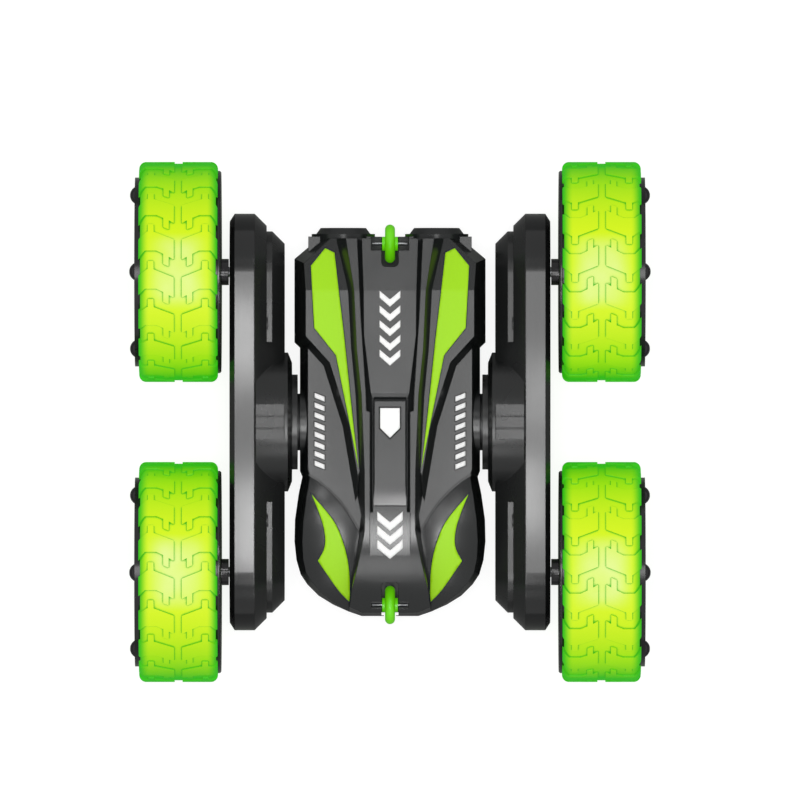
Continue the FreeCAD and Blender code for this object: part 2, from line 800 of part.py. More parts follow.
def side_body(tail_height, top, level_start, nose_arc_radius):
    """Everything below one shell's top line, seen from the side."""
    centre = vector(-body_wide, level_start, top - nose_arc_radius)
    reach = nose_tip + 6 + level_start
    end_height = centre.z + math.sqrt(nose_arc_radius ** 2 - reach ** 2)
    middle_height = centre.z + math.sqrt(nose_arc_radius ** 2 - (reach / 2) ** 2)
    points = [vector(-body_wide, level_start - reach, end_height),
              vector(-body_wide, level_start - reach / 2, middle_height),
              vector(-body_wide, level_start, top)]
    rest = [points[2], vector(-body_wide, slope_start, top), vector(-body_wide, tail_end, tail_height),
            vector(-body_wide, tail_end, -1), vector(-body_wide, level_start - reach, -1), points[0]]
    edges = [Part.Arc(*points).toShape()]
    for first, second in zip(rest, rest[1:]):
        edges.append(Part.LineSegment(first, second).toShape())
    return Part.Face(Part.Wire(edges)).extrude(vector(2 * body_wide, 0, 0))


def spine_line(lowered=0.0):
    """Body below the spine's top line, or below a line lower by some depth."""
    radius = nose_curve_radius(spine_top)
    return side_body(spine_top - spine_tail_drop - lowered, spine_top - lowered, nose_start, radius)


def recess_floor():
    """Body below the floor between the rails, which meets the nose where the rails end."""
    radius = nose_curve_radius(spine_top) * 1.25
    return side_body(spine_top - spine_tail_drop - recess_depth, spine_top - recess_depth,
                     nose_start, radius)


def upper_form():
    """Outer form of the upper shell, before anything is cut into it."""
    spine = tapered(mirrored(spine_foot), panel_top, mirrored(spine_edge), spine_top)
    spine = spine.fuse(prism(mirrored(spine_foot), 0, panel_top)).common(spine_line())
    wing_foot = inset(wing_edge, -wing_flare)
    wing = prism(wing_foot, 0, panel_top).fuse(tapered(wing_foot, panel_top, wing_edge, wing_top))
    wing_line = side_prism([(slope_start, wing_top), (tail_end, wing_top - wing_tail_drop),
                            (tail_end, -1), (-80, -1), (-80, wing_top)], 2 * body_wide)
    wing = wing.common(wing_line)
    panel = prism(panel_edge, 0, panel_top)
    ball = Part.makeSphere(fender_radius, vector(fender_top[0], fender_top[1],
                                                 fender_top[2] - fender_radius))
    fender = prism(fender_edge, 0, 2 * panel_top).common(ball)
    seam = prism(panel_edge[1:-1] + fender_edge[-3::-1], 0, panel_top - seam_depth)
    sides = joined([wing, panel, fender, seam])
    form = joined([spine, sides, sides.mirror(vector(0, 0, 0), vector(1, 0, 0))])
    form = form.common(hull(mirrored(body_outline), 1))
    return form.multiFuse(tail_barrels(1))


def groove_floor(side):
    """Body below the floor of the edge grooves on one side, which falls outwards."""
    floor = spine_line(recess_depth)
    hinge = vector(side * groove_hinge, 0, spine_top - recess_depth)
    floor.rotate(hinge, vector(0, 1, 0), side * groove_tilt)
    return floor


def top_cuts():
    """Recess between the rails, its edge grooves, the ramp behind the hatch and the hatch's seat."""
    high = spine_top + 2
    recess = prism(mirrored(recess_edge), 0, high).cut(recess_floor())
    groove_outer = [point for point in recess_edge if point[1] > groove_end]
    groove_outer.append((recess_edge[-1][0], groove_end))
    groove = prism(mirrored(groove_outer), 0, high)
    inner = mirrored(centre_panel_edge + [(nose_strip_half_width, hatch_rear),
                                          (nose_strip_half_width, groove_end)])
    groove = groove.cut(prism(inner, 0, high))
    grooves = [groove.common(block(sorted((0, side * body_wide)), (groove_end - 1, tail_end + 5), (0, high)))
               .cut(groove_floor(side)) for side in (1, -1)]
    floor = spine_top - recess_depth - groove_depth
    ramp_half = centre_panel_edge[-1][0]
    ramp = side_prism([(hatch_rear + ramp_length, high), (hatch_rear + ramp_length, floor + groove_depth),
                       (hatch_rear, floor), (hatch_front, floor), (hatch_front, high)], ramp_half)
    seat = block((-hatch_half_width - hatch_gap, hatch_half_width + hatch_gap),
                 (hatch_front - hatch_gap, hatch_rear + hatch_gap), (floor, high))
    ramp = ramp.common(prism(mirrored(centre_panel_edge + [(ramp_half, hatch_rear)]), 0, high))
    return [recess, ramp, seat] + grooves


def guide_openings():
    """Slots for the guide wheels, closed below, and grooves for their pins."""
    half = guide_slot_width / 2
    lip = guide_rim_width / 2 + end_gap
    high = 2 * spine_top
    low = -guide_radius - end_gap
    openings = [block((-lip, lip), (-nose_tip - 5, slot_lip_place), (low, high))]
    for start, end in ((slot_lip_place, nose_slot_end), (tail_end + 5, tail_slot_end)):
        slot = block((-half, half), sorted((start, end)), (low, high))
        corners = [edge for edge in slot.Edges
                   if abs(edge.tangentAt(0).z) > 0.9 and abs(edge.CenterOfMass.y - end) < 0.01]
        openings.append(slot.makeFillet(slot_corner, corners))
    for y, length in ((nose_wheel_place, nose_pocket_length), (tail_wheel_place, tail_pocket_length)):
        openings.append(disc(-guide_pin_length / 2, guide_pin_length / 2, guide_pin_radius, y))
        openings.append(block((-guide_pocket_half_width, guide_pocket_half_width),
                              (y - length / 2, y + length / 2), (0, high)))
    return openings


def nozzle_seats():
    depth = tail_end - nozzle_seat
    return [Part.makeCylinder(nozzle_radius, nozzle_seat + 5, vector(x, depth, 0), vector(0, 1, 0))
            for x in (-nozzle_place, nozzle_place)]


def sleeve_seats():
    """Round openings that both shells close on: narrow through the wall, wide behind it."""
    inside = body_side - body_wall
    seats = []
    for side in (1, -1):
        for start, end, radius in ((inside, body_side + 1, sleeve_groove_radius),
                                   (inside - 4, inside, sleeve_radius + sliding_gap)):
            low, high = sorted((side * start, side * end))
            seats.append(disc(low, high, radius))
    return seats


def pivot_pads(sign):
    """Flat round pads on the body's sides where the arms' collars run."""
    pads = []
    for side in (1, -1):
        low, high = sorted((side * (body_side - 5), side * body_side))
        heights = sorted((0, sign * (pivot_pad_radius + 1)))
        pad = disc(low, high, pivot_pad_radius)
        pads.append(pad.common(block((low, high), (-20, 20), heights)))
    return pads


def inside_space(sign, deep, line):
    """Hollow of one shell below a side line: the hull less its wall."""
    outline = inset(mirrored(body_outline), body_wall)
    heights = sorted((0, sign * deep))
    space = hull(outline, sign).common(block((-40, 40), (cavity_front, cavity_rear), heights))
    return space.common(line)


def upright(x, y, low, radius, height):
    """Upright cylinder."""
    return Part.makeCylinder(radius, height, vector(x, y, low), vector(0, 0, 1))


def motor_ribs(low, high):
    """Two ribs across each motor, between two heights."""
    return [block(sorted((side * x, side * (x + rib_thickness))), (-rib_half_length, rib_half_length),
                  (low, high)) for side in (1, -1) for x in rib_places]


def upper_shell():
    """Upper half of the body."""
    shape = upper_form().multiFuse(pivot_pads(1))
    for cut in top_cuts():
        shape = shape.cut(cut)
    shape = shape.cut(inside_space(1, panel_top - body_wall - roof_extra, spine_line()))
    roof = spine_top - recess_depth - groove_depth - body_wall
    room_end = slope_start - spine_room_gap
    shape = shape.cut(block((-spine_room_half_width, spine_room_half_width),
                            (nose_start + spine_room_gap, room_end), (0, roof)))
    room_near, room_far, room_start = flank_room
    for side in (1, -1):
        pocket = block(sorted((side * room_near, side * room_far)), (room_start, room_end),
                       (0, wing_top - body_wall))
        shape = shape.cut(pocket)
    posts = [upright(x, y, 0, screw_radius + boss_wall, panel_top - post_gap) for x, y in body_screw_places]
    ribs = motor_ribs(motor_flat, panel_top - post_gap)
    shape = shape.multiFuse(posts + ribs)
    for x, y in body_screw_places:
        shape = shape.cut(upright(x, y, 0, screw_radius, body_screw_reach))
    for cut in guide_openings() + nozzle_seats() + sleeve_seats():
        shape = shape.cut(cut)
    return shape.removeSplitter()


def hood_hatch():
    """Lid set between the rails, flat but for its front end, which bends down to the nose."""
    top = spine_top - recess_depth + hatch_proud
    low = spine_top - recess_depth - groove_depth
    outline = [(hatch_half_width, hatch_rear), (hatch_half_width, hatch_front)]
    lid = prism(mirrored(outline), low, top - hatch_bevel)
    lid = lid.fuse(tapered(mirrored(outline), top - hatch_bevel,
                           inset(mirrored(outline), hatch_bevel), top))
    bend = Part.makeCylinder(hatch_bend_radius, 4 * hatch_half_width,
                             vector(-2 * hatch_half_width, hatch_bend, top - hatch_bend_radius),
                             vector(1, 0, 0))
    front = block((-2 * hatch_half_width, 2 * hatch_half_width), (2 * hatch_front, hatch_bend),
                  (low - 1, top + 1))
    return lid.cut(front.cut(bend))


def belly_line(raised=0.0):
    """Body above the belly's line, seen from the side; a raised line lies further in."""
    belly = -belly_depth + raised
    return side_prism([(-nose_tip - 6, 1), (-nose_tip - 6, -nose_belly_height + raised),
                       (nose_belly_start, belly), (tail_belly_start, belly),
                       (tail_end, -tail_belly_height + raised), (tail_end, 1)], body_wide)


def door_outline(extra):
    half = door_half_width + extra
    return [(half, door_rear + extra), (half, door_front - extra),
            (-half, door_front - extra), (-half, door_rear + extra)]


def lower_shell():
    """Lower half of the body, with the battery bay, motor cradles and board posts."""
    shape = hull(mirrored(body_outline), -1)
    shape = shape.multiFuse(tail_barrels(-1)).common(belly_line()).multiFuse(pivot_pads(-1))
    floor = -belly_depth + body_wall
    shape = shape.cut(inside_space(-1, -floor, belly_line(body_wall)))
    foot = floor - post_foot
    cradles = motor_ribs(foot, -motor_flat)
    posts = [upright(x, y, foot, screw_radius + boss_wall, -foot) for x, y in body_screw_places]
    half = board_post_size / 2
    board_posts = [block((x - half, x + half), (y - half, y + half), (foot, board_height))
                   for x in board_post_across for y in board_post_along]
    shape = shape.multiFuse(cradles + posts + board_posts)
    shape = shape.cut(prism(door_outline(0), -belly_depth - 1, -belly_depth + door_thickness / 2))
    shape = shape.cut(prism(door_outline(-door_lip), -belly_depth - 1, floor + 1))
    tab = block((-door_tab_half_width, door_tab_half_width),
                (door_rear - 2 * door_screw_inset, door_rear + post_foot),
                (-belly_depth + door_thickness, floor + door_tab_height))
    shape = shape.fuse(tab)
    for x, y in body_screw_places:
        shape = shape.cut(upright(x, y, -belly_depth, screw_radius, belly_depth))
        shape = shape.cut(upright(x, y, -belly_depth - 1, screw_head_radius + sliding_gap,
                                  1 + screw_head_height + screw_seat_depth))
    shape = shape.cut(upright(0, door_rear - door_screw_inset, -belly_depth, screw_radius, door_screw_hole))
    x, y = switch_place
    half = switch_slot_width / 2
    slot_end = switch_knob_length / 2 + switch_travel + sliding_gap
    shape = shape.cut(block((x - half, x + half), (y - slot_end, y + switch_knob_length / 2 + sliding_gap),
                            (-belly_depth - 1, floor + 1)))
    for cut in guide_openings() + nozzle_seats() + sleeve_seats():
        shape = shape.cut(cut)
    return shape.removeSplitter()


def battery_door():
    """Lid of the battery bay: a plate with a thicker middle that fits through the bay's edge."""
    plate = prism(door_outline(-sliding_gap), -belly_depth, -belly_depth + door_thickness / 2)
    middle = prism(door_outline(-door_lip - sliding_gap), -belly_depth, -belly_depth + door_thickness)
    shape = plate.fuse(middle)
    for index in range(door_grip_count):
        y = door_front + door_grip_inset + door_grip_pitch * index
        shape = shape.cut(block((-door_grip_half_width, door_grip_half_width), (y, y + door_grip_width),
                                (-belly_depth - 1, -belly_depth + door_grip_depth)))
    y = door_rear - door_screw_inset
    shape = shape.cut(upright(0, y, -belly_depth, screw_radius, door_screw_hole))
    return shape.cut(upright(0, y, -belly_depth, screw_head_radius + sliding_gap, door_screw_seat))


def upright_screw(x, y, head_seat, reach):
    """Body screw with its head below, and a cross recess."""
    low = head_seat - screw_head_height
    shape = upright(x, y, head_seat, screw_radius, reach)
    shape = shape.fuse(upright(x, y, low, screw_head_radius, screw_head_height))
    reach = screw_head_radius - recess_rim
    slot = (low, low + head_recess)
    shape = shape.cut(block((x - recess_arm, x + recess_arm), (y - reach, y + reach), slot))
    return shape.cut(block((x - reach, x + reach), (y - recess_arm, y + recess_arm), slot))


def body_screws():
    head_seat = -belly_depth + screw_head_height + screw_seat_depth
    screws = [upright_screw(x, y, head_seat, -head_seat + body_screw_reach - screw_hole_extra)
              for x, y in body_screw_places]
    screws.append(upright_screw(0, door_rear - door_screw_inset, -belly_depth + door_screw_seat,
                                door_screw_reach))
    return Part.makeCompound(screws)


def tail_nozzles():
    """Two round nozzles, closed inside, with a tapered lip that stands out behind."""
    start = tail_end - nozzle_seat
    end = tail_end + nozzle_proud
    profile = [(start, 0), (start, nozzle_radius), (tail_end, nozzle_radius), (end, nozzle_lip_radius),
               (end, nozzle_bore), (end - nozzle_depth, nozzle_bore - nozzle_taper),
               (end - nozzle_depth, 0)]
    nozzles = []
    for x in (-nozzle_place, nozzle_place):
        face = face_of([vector(x + radius, y, 0) for y, radius in profile])
        nozzles.append(face.revolve(vector(x, 0, 0), vector(0, 1, 0), 360))
    return Part.makeCompound(nozzles)


# Guide wheels

def guide_wheel(y):
    """Small wheel with a round rim on a wider hub."""
    tube_radius = guide_rim_width / 2
    rim = Part.makeTorus(guide_radius - tube_radius, tube_radius, vector(0, y, 0), vector(1, 0, 0))
    web = disc(-guide_web / 2, guide_web / 2, guide_radius - tube_radius, y)
    middle = disc(-guide_hub_width / 2, guide_hub_width / 2, guide_hub_radius, y)
    shape = rim.fuse(web).fuse(middle)
    return shape.cut(disc(-guide_hub_width, guide_hub_width, guide_pin_radius + turning_gap, y))


def guide_wheel_pins():
    half = guide_pin_length / 2
    return Part.makeCompound([disc(-half, half, guide_pin_radius, y)
                              for y in (nose_wheel_place, tail_wheel_place)])


# Inside the body

def battery_pack():
    """Two flat cells in one wrap, resting on the battery door."""
    low = -belly_depth + door_thickness + sliding_gap
    cell = block((-battery_half_width, battery_half_width),
                 (battery_front, battery_front + battery_length), (low, low + battery_height))
    return cell.makeFillet(battery_corner, [edge for edge in cell.Edges if abs(edge.tangentAt(0).y) > 0.9])


def circuit_board():
    """Board with its receiver chip, connectors and the body of the power switch."""
    low = board_height
    high = low + board_thickness
    x, y = switch_place
    shapes = [block((-board_half_width, board_half_width), (board_front + board_nose_gap, board_rear),
                    (low, high))]
    shapes += [block(across, along, (high, high + height)) for across, along, height in board_parts]
    shapes.append(block((x - switch_body[0], x + switch_body[0]), (y - switch_body[1], y + switch_body[2]),
                        (low - switch_height, low)))
    slot_end = switch_knob_length / 2 + switch_travel + sliding_gap
    half = switch_knob_half_width + sliding_gap
    slot = block((x - half, x + half), (y - slot_end, y + switch_knob_length / 2 + sliding_gap),
                 (low - switch_height, low - switch_roof))
    return joined(shapes).cut(slot)


def power_switch():
    """Sliding knob that reaches from the switch body out through the belly."""
    x, y = switch_place
    front = y - switch_knob_length / 2
    low = -belly_depth + switch_knob_recess
    across = (x - switch_knob_half_width, x + switch_knob_half_width)
    stem = block(across, (front, front + switch_knob_length),
                 (low, board_height - switch_roof - sliding_gap))
    width, pitch, depth = switch_grip
    grip = [block(across, (front + pitch * index, front + pitch * index + width), (low - depth, low))
            for index in range(3)]
    return stem.multiFuse(grip)


def wire(points):
    """Round wire through points, straight runs joined by arcs that touch both."""
    edges = []
    start = points[0]
    for index in range(1, len(points) - 1):
        corner = points[index]
        back = (points[index - 1] - corner)
        ahead = (points[index + 1] - corner)
        trim = 0.45 * min(back.Length, ahead.Length)
        back.normalize()
        ahead.normalize()
        first = corner + back * trim
        last = corner + ahead * trim
        half = math.acos(max(-1.0, min(1.0, back.dot(ahead)))) / 2
        radius = trim * math.tan(half)
        inward = back + ahead
        inward.normalize()
        middle = corner + inward * (math.hypot(trim, radius) - radius)
        edges.append(Part.LineSegment(start, first).toShape())
        edges.append(Part.Arc(first, middle, last).toShape())
        start = last
    edges.append(Part.LineSegment(start, points[-1]).toShape())
    path = Part.Wire(edges)
    direction = points[1] - points[0]
    section = Part.Wire(Part.makeCircle(wire_radius, points[0], direction))
    return path.makePipeShell([section], True, False)


def wiring():
    """Leads from the board to both motors and to the battery."""
    board_top = board_height + board_thickness
    rise = board_top + wire_rise
    foot = board_rear - motor_lead_inset
    leads = []
    for x in (-motor_lead_place, motor_lead_place):
        leads.append(wire([vector(x, foot, board_top), vector(x, foot, rise),
                           vector(x, -motor_radius, rise + motor_lead_climb)]))
    x = battery_lead_place
    start = rise + wire_radius
    clear = motor_radius + 2 * wire_radius + end_gap
    over = motor_flat + wire_radius + end_gap
    leads.append(wire([vector(x, board_rear - battery_lead_inset, start), vector(x, -clear, start),
                       vector(x, -clear, over), vector(x, clear, over), vector(x, clear, battery_lead_end)]))
    return Part.makeCompound(leads)


def write_wheels():
    shapes = {"tyre": tyre(), "hub": hub(), "inner_disc": inner_disc(), "axle": axle(),
              "wheel_gear": wheel_gear(), "light_board": light_board()}
    for side in ("left", "right"):
        for end, y in (("front", -wheel_place), ("rear", wheel_place)):
            for name, shape in shapes.items():
                keep("_".join((name, end, side)), placed(shape, side, y))


def write_arms():
    shapes = {"arm_outer_case": outer_case(), "arm_inner_case": inner_case(),
              "case_screws": case_screws(), "gear_pins": gear_pins(), "motor": motor_can(),
              "motor_rotor": rotor(), "motor_pinion": pinion()}
    pairs = {"compound_gear": (compound_gear(), compound_place), "idler_gear": (idler_gear(), idler_place)}
    for side in ("left", "right"):
        for name, shape in shapes.items():
            keep(name + "_" + side, placed(shape, side))
        for name, (shape, distance) in pairs.items():
            keep(name + "_front_" + side, placed(shape, side, -distance))
            keep(name + "_rear_" + side, placed(shape, side, distance))


def write_body():
    sleeves = Part.makeCompound([placed(sleeve(), side) for side in ("left", "right")])
    keep("pivot_sleeves", sleeves)
    shapes = {"upper_shell": upper_shell(), "hood_hatch": hood_hatch(), "lower_shell": lower_shell(),
              "battery_door": battery_door(), "body_screws": body_screws(),
              "tail_nozzles": tail_nozzles(), "nose_wheel": guide_wheel(nose_wheel_place),
              "tail_wheel": guide_wheel(tail_wheel_place), "guide_wheel_pins": guide_wheel_pins(),
              "battery_pack": battery_pack(), "circuit_board": circuit_board(),
              "power_switch": power_switch(), "wiring": wiring()}
    for name, shape in shapes.items():
        keep(name, placed(shape, "right"))


os.makedirs("parts", exist_ok=True)
write_wheels()
write_arms()
write_body()
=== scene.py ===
import math

import bpy
from bpy.props import FloatProperty, FloatVectorProperty, PointerProperty
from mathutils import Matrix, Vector
from mathutils.bvhtree import BVHTree
from mathutils.geometry import delaunay_2d_cdt


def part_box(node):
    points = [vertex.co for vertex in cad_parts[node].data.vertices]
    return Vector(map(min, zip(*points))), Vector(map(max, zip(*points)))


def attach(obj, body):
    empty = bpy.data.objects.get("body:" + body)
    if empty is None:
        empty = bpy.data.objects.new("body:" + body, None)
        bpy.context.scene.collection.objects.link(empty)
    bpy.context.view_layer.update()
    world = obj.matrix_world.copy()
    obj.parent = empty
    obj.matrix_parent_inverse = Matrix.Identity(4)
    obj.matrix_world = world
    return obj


bl_info = {
    "name": "Stunt Car Finishes",
    "version": (1, 0, 0),
    "blender": (4, 5, 0),
    "location": "View3D > Sidebar > Stunt Car",
    "description": "Gives the stunt car its plastics, rubber, metals and prints, and sets a studio",
    "category": "Object",
}

MM = 0.001
SIDES = ["left", "right"]
WHEELS = [end + "_" + side for end in ("front", "rear") for side in SIDES]

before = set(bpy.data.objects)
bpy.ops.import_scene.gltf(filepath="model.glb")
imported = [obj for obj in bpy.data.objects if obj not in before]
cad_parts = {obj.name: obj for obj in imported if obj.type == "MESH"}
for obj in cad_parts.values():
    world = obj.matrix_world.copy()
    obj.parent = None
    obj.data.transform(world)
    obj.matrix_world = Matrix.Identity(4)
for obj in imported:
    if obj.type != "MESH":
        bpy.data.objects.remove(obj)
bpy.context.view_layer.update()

TYRE_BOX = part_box("tyre_rear_right")
AXLE_HEIGHT = (TYRE_BOX[0].z + TYRE_BOX[1].z) / 2
WHEEL_PLACE = (TYRE_BOX[0].y + TYRE_BOX[1].y) / 2
TYRE_MIDDLE = (TYRE_BOX[0].x + TYRE_BOX[1].x) / 2

# Refractive indices
ABS_IOR = 1.54
ACETAL_IOR = 1.48
PVC_IOR = 1.53
POLYAMIDE_IOR = 1.53

# A print's first film lies this far above the shell, and its points this far apart
PRINT_LIFT = 0.02 * MM
PRINT_SPACING = 0.7 * MM


# Colours, lengths and nodes

def linear(code):
    """Linear colour of an sRGB code such as #2a2c2c."""
    values = []
    for start in (1, 3, 5):
        value = int(code[start:start + 2], 16) / 255
        values.append(value / 12.92 if value <= 0.04045 else ((value + 0.055) / 1.055) ** 2.4)
    return values


def colour_of(name, description, code):
    """A colour that the user can change."""
    return FloatVectorProperty(name=name, description=description, subtype="COLOR", size=3,
                               min=0.0, max=1.0, default=linear(code))


def length_of(name, description, millimetres):
    """A length that the user can change."""
    return FloatProperty(name=name, description=description, subtype="DISTANCE", unit="LENGTH",
                         min=0.0, default=millimetres * MM)


def tinted(colour, share=1.0):
    """An opaque colour, made darker or lighter."""
    return tuple(min(1.0, channel * share) for channel in tuple(colour)[:3]) + (1.0,)


def add(tree, kind, inputs=None, **settings):
    """Add a node, make its settings, and fill its inputs with values or with other nodes' outputs."""
    made = tree.nodes.new(kind)
    for name, value in settings.items():
        setattr(made, name, value)
    for name, value in (inputs or {}).items():
        if isinstance(value, bpy.types.NodeSocket):
            tree.links.new(value, made.inputs[name])
        else:
            made.inputs[name].default_value = value
    return made


def new_material(name, constants):
    """A material with one Principled shader, its output and the object's own coordinates."""
    made = bpy.data.materials.new(name)
    made.use_nodes = True
    tree = made.node_tree
    tree.nodes.clear()
    shader = add(tree, "ShaderNodeBsdfPrincipled", constants)
    add(tree, "ShaderNodeOutputMaterial", {"Surface": shader.outputs["BSDF"]})
    place = add(tree, "ShaderNodeTexCoord").outputs["Object"]
    return made, tree, shader, place


def give(material, names):
    """Put a material on CAD nodes."""
    for name in names:
        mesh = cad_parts[name].data
        mesh.materials.clear()
        mesh.materials.append(material)


# Materials

def moulded_plastic(name, colour, roughness, ior, grain, grain_depth, edge, lamp_and_painted_glow=0.0):
    """Moulded plastic: the tool's polish and grain, flow marks, and edges that moulding rounds off."""
    made, tree, shader, place = new_material(name, {"IOR": ior, "Emission Strength": lamp_and_painted_glow})
    skin = add(tree, "ShaderNodeTexNoise", {"Vector": place, "Scale": 1 / (grain * MM), "Detail": 2.0})
    flow = add(tree, "ShaderNodeTexNoise", {"Vector": place, "Scale": 1 / (22 * MM), "Detail": 3.0})
    tone = add(tree, "ShaderNodeMix", {0: flow.outputs[0], 6: tinted(colour, 0.88),
                                       7: tinted(colour, 1.12)}, data_type="RGBA")
    polish = add(tree, "ShaderNodeMapRange", {0: flow.outputs[0], 1: 0.3, 2: 0.7,
                                              3: roughness * 0.92, 4: roughness * 1.12})
    rounded = add(tree, "ShaderNodeBevel", {"Radius": edge * MM}, samples=6)
    bump = add(tree, "ShaderNodeBump", {"Height": skin.outputs[0], "Distance": grain_depth * MM,
                                        "Normal": rounded.outputs[0]})
    tree.links.new(tone.outputs[2], shader.inputs["Base Color"])
    # Emission in the plastic's own colour at the strength given: where that is above zero, a painted glow.
    tree.links.new(tone.outputs[2], shader.inputs["Emission Color"])
    tree.links.new(polish.outputs[0], shader.inputs["Roughness"])
    tree.links.new(bump.outputs[0], shader.inputs["Normal"])
    return made


def plated_metal(name, colour, roughness, grain):
    """Drawn or turned metal: fine lines along X, and a little uneven brightness in its plating."""
    made, tree, shader, place = new_material(name, {"Metallic": 1.0})
    stretched = add(tree, "ShaderNodeMapping", {"Vector": place, "Scale": (0.08, 1.0, 1.0)})
    lines = add(tree, "ShaderNodeTexNoise", {"Vector": stretched.outputs[0], "Scale": 1 / (grain * MM)})
    patches = add(tree, "ShaderNodeTexNoise", {"Vector": place, "Scale": 1 / (4 * MM)})
    tone = add(tree, "ShaderNodeMix", {0: patches.outputs[0], 6: tinted(colour, 0.85),
                                       7: tinted(colour, 1.1)}, data_type="RGBA")
    dulled = add(tree, "ShaderNodeMapRange", {0: lines.outputs[0], 3: roughness * 0.8,
                                              4: roughness * 1.25})
    rounded = add(tree, "ShaderNodeBevel", {"Radius": 0.12 * MM}, samples=4)
    bump = add(tree, "ShaderNodeBump", {"Height": lines.outputs[0], "Distance": 0.004 * MM,
                                        "Normal": rounded.outputs[0]})
    tree.links.new(tone.outputs[2], shader.inputs["Base Color"])
    tree.links.new(dulled.outputs[0], shader.inputs["Roughness"])
    tree.links.new(bump.outputs[0], shader.inputs["Normal"])
    return made


def lit_rubber(name, colours, lamp_and_painted_glow):
    """Thermoplastic rubber, moulded and translucent, with lamps in the drum behind it.

    The lamps light the whole tyre green from inside. On top of that the colour is painted light:
    it goes from green over yellow to pale where the tyre faces straight up or down, with a painted
    hot spot in the middle of the tread there. The shoulders get painted shade in the edge's green,
    and the creases by the tread blocks' walls get painted shade in the line colour.
    """
    dim, half_lit, full_lit = 0.25, 0.6, 0.93
    spot_inside, spot_outside = 3 * MM, 10 * MM
    shoulder_start, shoulder_end = 8.5 * MM, 11.8 * MM
    crease_reach, crease_open, crease_closed = 0.9 * MM, 0.9, 0.55
    cloud_size, grit_size = 14 * MM, 0.35 * MM
    spot_gain, body_share = 1.7, 0.42
    made, tree, shader, place = new_material(name, {"IOR": 1.45, "Roughness": 0.6,
                                                    "Emission Strength": lamp_and_painted_glow})
    axes = add(tree, "ShaderNodeSeparateXYZ", {0: place})
    side = add(tree, "ShaderNodeMath", {0: axes.outputs[0]}, operation="ABSOLUTE")
    offset = add(tree, "ShaderNodeMath", {0: side.outputs[0], 1: TYRE_MIDDLE}, operation="SUBTRACT")
    across = add(tree, "ShaderNodeMath", {0: offset.outputs[0]}, operation="ABSOLUTE")
    end = add(tree, "ShaderNodeMath", {0: axes.outputs[1]}, operation="ABSOLUTE")
    ahead = add(tree, "ShaderNodeMath", {0: end.outputs[0], 1: WHEEL_PLACE}, operation="SUBTRACT")
    above = add(tree, "ShaderNodeMath", {0: axes.outputs[2], 1: AXLE_HEIGHT}, operation="SUBTRACT")
    spoke = add(tree, "ShaderNodeCombineXYZ", {1: ahead.outputs[0], 2: above.outputs[0]})
    outward = add(tree, "ShaderNodeVectorMath", {0: spoke.outputs[0]}, operation="NORMALIZE")
    turn = add(tree, "ShaderNodeSeparateXYZ", {0: outward.outputs[0]})
    # Painted light: the colour follows how straight the tyre faces up or down, pale and yellow at the top and
    # the bottom, green where it faces forwards or backwards.
    facing_up = add(tree, "ShaderNodeMath", {0: turn.outputs[2]}, operation="ABSOLUTE")
    glow_and_painted_shade = add(tree, "ShaderNodeValToRGB", {0: facing_up.outputs[0]})
    ramp = glow_and_painted_shade.color_ramp
    ramp.elements[0].position = dim
    ramp.elements[0].color = tinted(colours["edge"])
    ramp.elements[1].position = full_lit
    ramp.elements[1].color = tinted(colours["middle"])
    between = ramp.elements.new(half_lit)
    between.color = tinted(colours["between"])
    # Painted highlight: a pale hot spot where the tread faces straight up or down, in the middle of its
    # width, broken up by the cloud noise.
    cloud = add(tree, "ShaderNodeTexNoise", {"Vector": place, "Scale": 1 / cloud_size})
    facing_straight = add(tree, "ShaderNodeMapRange", {0: facing_up.outputs[0], 1: full_lit, 2: 1.0},
               interpolation_type="SMOOTHSTEP")
    inner = add(tree, "ShaderNodeMapRange", {0: across.outputs[0], 1: spot_outside, 2: spot_inside},
                interpolation_type="SMOOTHSTEP")
    spot = add(tree, "ShaderNodeMath", {0: facing_straight.outputs[0], 1: inner.outputs[0]}, operation="MULTIPLY")
    soft_spot = add(tree, "ShaderNodeMath", {0: spot.outputs[0], 1: cloud.outputs[0]},
                    operation="MULTIPLY")
    doubled = add(tree, "ShaderNodeMath", {0: soft_spot.outputs[0], 1: spot_gain}, operation="MULTIPLY",
                  use_clamp=True)
    lit = add(tree, "ShaderNodeMix", {0: doubled.outputs[0], 6: glow_and_painted_shade.outputs[0],
                                      7: tinted(colours["centre"])}, data_type="RGBA")
    # Painted shade: towards the shoulders the colour turns to the edge's green.
    shoulder = add(tree, "ShaderNodeMapRange", {0: across.outputs[0], 1: shoulder_start,
                                                2: shoulder_end}, interpolation_type="SMOOTHSTEP")
    rounded = add(tree, "ShaderNodeMix", {0: shoulder.outputs[0], 6: lit.outputs[2],
                                          7: tinted(colours["edge"])}, data_type="RGBA")
    # Painted shade: ambient occlusion darkens the tread's creases by the block walls to the line colour.
    crease = add(tree, "ShaderNodeAmbientOcclusion", {"Distance": crease_reach}, samples=8)
    crease_shade = add(tree, "ShaderNodeMapRange", {0: crease.outputs["AO"], 1: crease_open,
                                            2: crease_closed})
    drawn = add(tree, "ShaderNodeMix", {0: crease_shade.outputs[0], 6: rounded.outputs[2],
                                        7: tinted(colours["line"])}, data_type="RGBA")
    grit = add(tree, "ShaderNodeTexNoise", {"Vector": place, "Scale": 1 / grit_size})
    bump = add(tree, "ShaderNodeBump", {"Height": grit.outputs[0], "Distance": 0.01 * MM})
    body = add(tree, "ShaderNodeVectorMath", {0: drawn.outputs[2], "Scale": body_share},
               operation="SCALE")
    tree.links.new(body.outputs[0], shader.inputs["Base Color"])
    tree.links.new(drawn.outputs[2], shader.inputs["Emission Color"])
    tree.links.new(bump.outputs[0], shader.inputs["Normal"])
    return made


